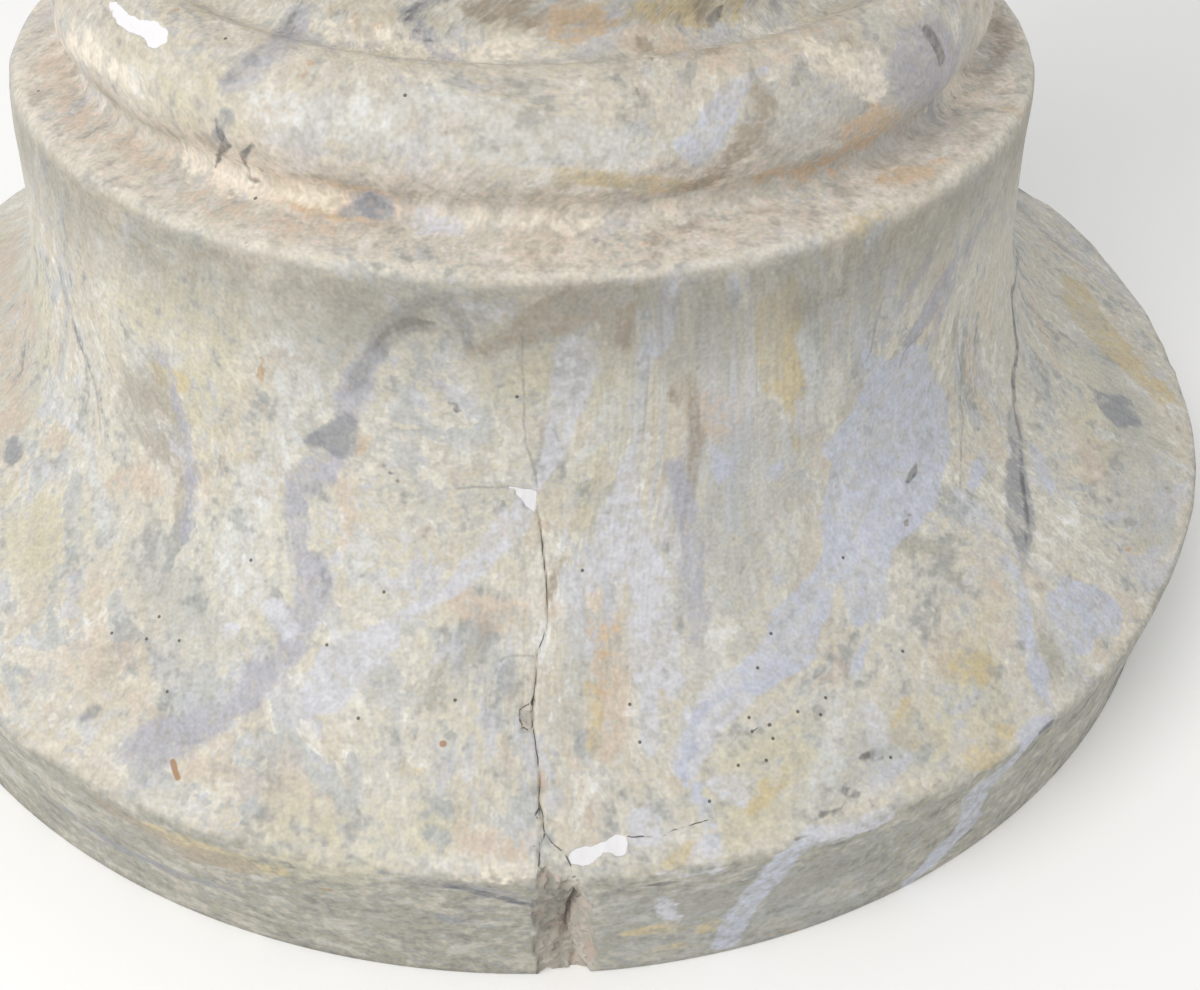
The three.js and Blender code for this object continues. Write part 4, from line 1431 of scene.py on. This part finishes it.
    # Painted light: the whole torus a little lighter, as if lit more from above
    tone = sums(tree, "MULTIPLY_ADD", fieldOf(tree, "onTorus"), finish["torusTone"], tone)
    tone = sums(tree, "MULTIPLY_ADD", grain["Tone"], finish["grain"], tone)
    colour = addNode(tree, "ShaderNodeVectorMath", {0: colour, "Scale": tone}, operation="SCALE").outputs[0]

    # Gesso chips, broken plaster, pinholes and cracks lie over all paint
    chipWander = sums(tree, "MULTIPLY_ADD", grain["Lumps"], 1.0, -0.5)
    chip = stepped(tree, sums(tree, "ADD", fieldOf(tree, "gessoField"), chipWander), 0.12, -0.12)
    colour = blended(tree, chip, colour, paints["gesso"])
    broken = fieldOf(tree, "broken")
    crumbs = stepped(tree, grain["Lumps"], 0.38, 0.62)
    brokenShare = sums(tree, "MULTIPLY_ADD", crumbs, 0.5,
                       sums(tree, "MULTIPLY_ADD", fieldOf(tree, "breakPale"), 0.85, -0.2))
    brokenColour = blended(tree, brokenShare, paints["broken"], paints["brokenPale"])
    brokenColour = blended(tree, product(tree, stepped(tree, dabs[1], 0.52, 0.6), 0.4), brokenColour,
                           paints["fleckPink"])
    colour = blended(tree, broken, colour, brokenColour)
    for key in ("pitWay", "pitWayBetween"):
        pit = placedGroup(tree, line, Way=fieldOf(tree, key, "Vector"), HalfWidth=pits["halfWidth"] * 0.6,
                          Blur=pits["halfWidth"] * 0.4, Guard=pits["guard"])["Mask"]
        colour = blended(tree, product(tree, pit, pits["strength"]), colour, paints["crack"])
    scar = placedGroup(tree, line, Way=fieldOf(tree, "scarWay", "Vector"), Shake=shaken,
                       HalfWidth=pits["scarHalfWidth"] * 0.6, Blur=pits["scarHalfWidth"] * 0.5)["Mask"]
    colour = blended(tree, product(tree, scar, finish["scarStrength"]), colour, paints["scar"])
    lines = placedGroup(tree, line, Way=fieldOf(tree, "crackWay", "Vector"), Shake=shaken,
                        HalfWidth=finish["crackHalfWidth"], Blur=finish["crackBlur"])["Mask"]
    colour = blended(tree, product(tree, lines, finish["crackStrength"]), colour, paints["crack"])

    smoothPaint = stepped(tree, clouds[2], 0.3, 0.7, finish["roughness"] - 0.08, finish["roughness"] + 0.12)
    bare = sums(tree, "MAXIMUM", sums(tree, "MAXIMUM", chip, broken), lines)
    roughness = addNode(tree, "ShaderNodeMix", {0: bare, 2: smoothPaint, 3: finish["bareRoughness"]},
                        data_type="FLOAT").outputs[0]
    relief = sums(tree, "MULTIPLY_ADD", chip, finish["chipRelief"], grain["Height"])
    relief = sums(tree, "MULTIPLY_ADD", product(tree, crumbs, broken), finish["crumbRelief"], relief)
    bump = addNode(tree, "ShaderNodeBump",
                   {"Strength": 1.0, "Distance": finish["grainHeight"], "Height": relief})
    surface = addNode(tree, "ShaderNodeBsdfPrincipled",
                      {"Base Color": colour, "Roughness": roughness, "Normal": bump.outputs[0]})
    output = addNode(tree, "ShaderNodeOutputMaterial")
    tree.links.new(surface.outputs[0], output.inputs["Surface"])
    return material


pedestal.data.materials.append(paintedPlaster(strokeGroup(), lineGroup(), flakeGroup(), veinGroup(),
                                              sandGroup()))
print("painted plaster mixed")

# Plain pale floor, soft light from the upper left and the camera
studio = {
    "floorWidth": 8.0,
    "floor": (0.96, 0.96, 0.955, 1.0),
    "floorRoughness": 0.85,
    "skyStrength": 0.7,
    "sky": (1.0, 1.0, 1.0),
    "keyPlace": (-1.0, -0.88, 1.45),
    "keyAim": (0, -0.05, 0.08),
    "keySize": 1.1,
    "keyPower": 18.5,
    "keyColour": (1.0, 0.985, 0.96),
}


def studioFloor(s):
    half = 0.5 * s["floorWidth"]
    mesh = bpy.data.meshes.new("studioFloor")
    mesh.from_pydata([(-half, -half, 0), (half, -half, 0), (half, half, 0), (-half, half, 0)], [],
                     [(0, 1, 2, 3)])
    floor = bpy.data.objects.new("studioFloor", mesh)
    bpy.context.scene.collection.objects.link(floor)
    material = bpy.data.materials.new("paleFloor")
    material.use_nodes = True
    shader = material.node_tree.nodes["Principled BSDF"]
    shader.inputs["Base Color"].default_value = s["floor"]
    shader.inputs["Roughness"].default_value = s["floorRoughness"]
    mesh.materials.append(material)
    return floor


def aimed(thing, place, target):
    # Turned so that its own -Z looks from its place to the target
    way = np.array(place, float) - np.array(target, float)
    flat = math.hypot(way[0], way[1])
    thing.location = place
    thing.rotation_euler = (math.atan2(flat, way[2]), 0, math.atan2(way[0], -way[1]))


def studioLight(s):
    world = bpy.data.worlds.new("softRoom")
    bpy.context.scene.world = world
    world.use_nodes = True
    world.node_tree.nodes["Background"].inputs["Color"].default_value = (*s["sky"], 1)
    world.node_tree.nodes["Background"].inputs["Strength"].default_value = s["skyStrength"]
    lamp = bpy.data.lights.new("softKey", "AREA")
    lamp.shape = "DISK"
    lamp.size = s["keySize"]
    lamp.energy = s["keyPower"]
    lamp.color = s["keyColour"]
    key = bpy.data.objects.new("softKey", lamp)
    bpy.context.scene.collection.objects.link(key)
    aimed(key, s["keyPlace"], s["keyAim"])


def studioCamera(v):
    data = bpy.data.cameras.new("photoView")
    data.sensor_width = 36
    data.lens = 36 * v["focalPixels"] / v["frameWidth"]
    data.shift_x = 0.5 - v["middleX"] / v["frameWidth"]
    data.clip_start = 0.01
    camera = bpy.data.objects.new("photoView", data)
    camera.location = (0, -v["distance"], v["height"])
    camera.rotation_euler = (math.radians(90 - v["pitch"]), 0, 0)
    bpy.context.scene.collection.objects.link(camera)
    bpy.context.scene.camera = camera


studioFloor(studio)
studioLight(studio)
studioCamera(viewpoint)
bpy.context.scene.view_settings.view_transform = "Standard"
print("studio set")
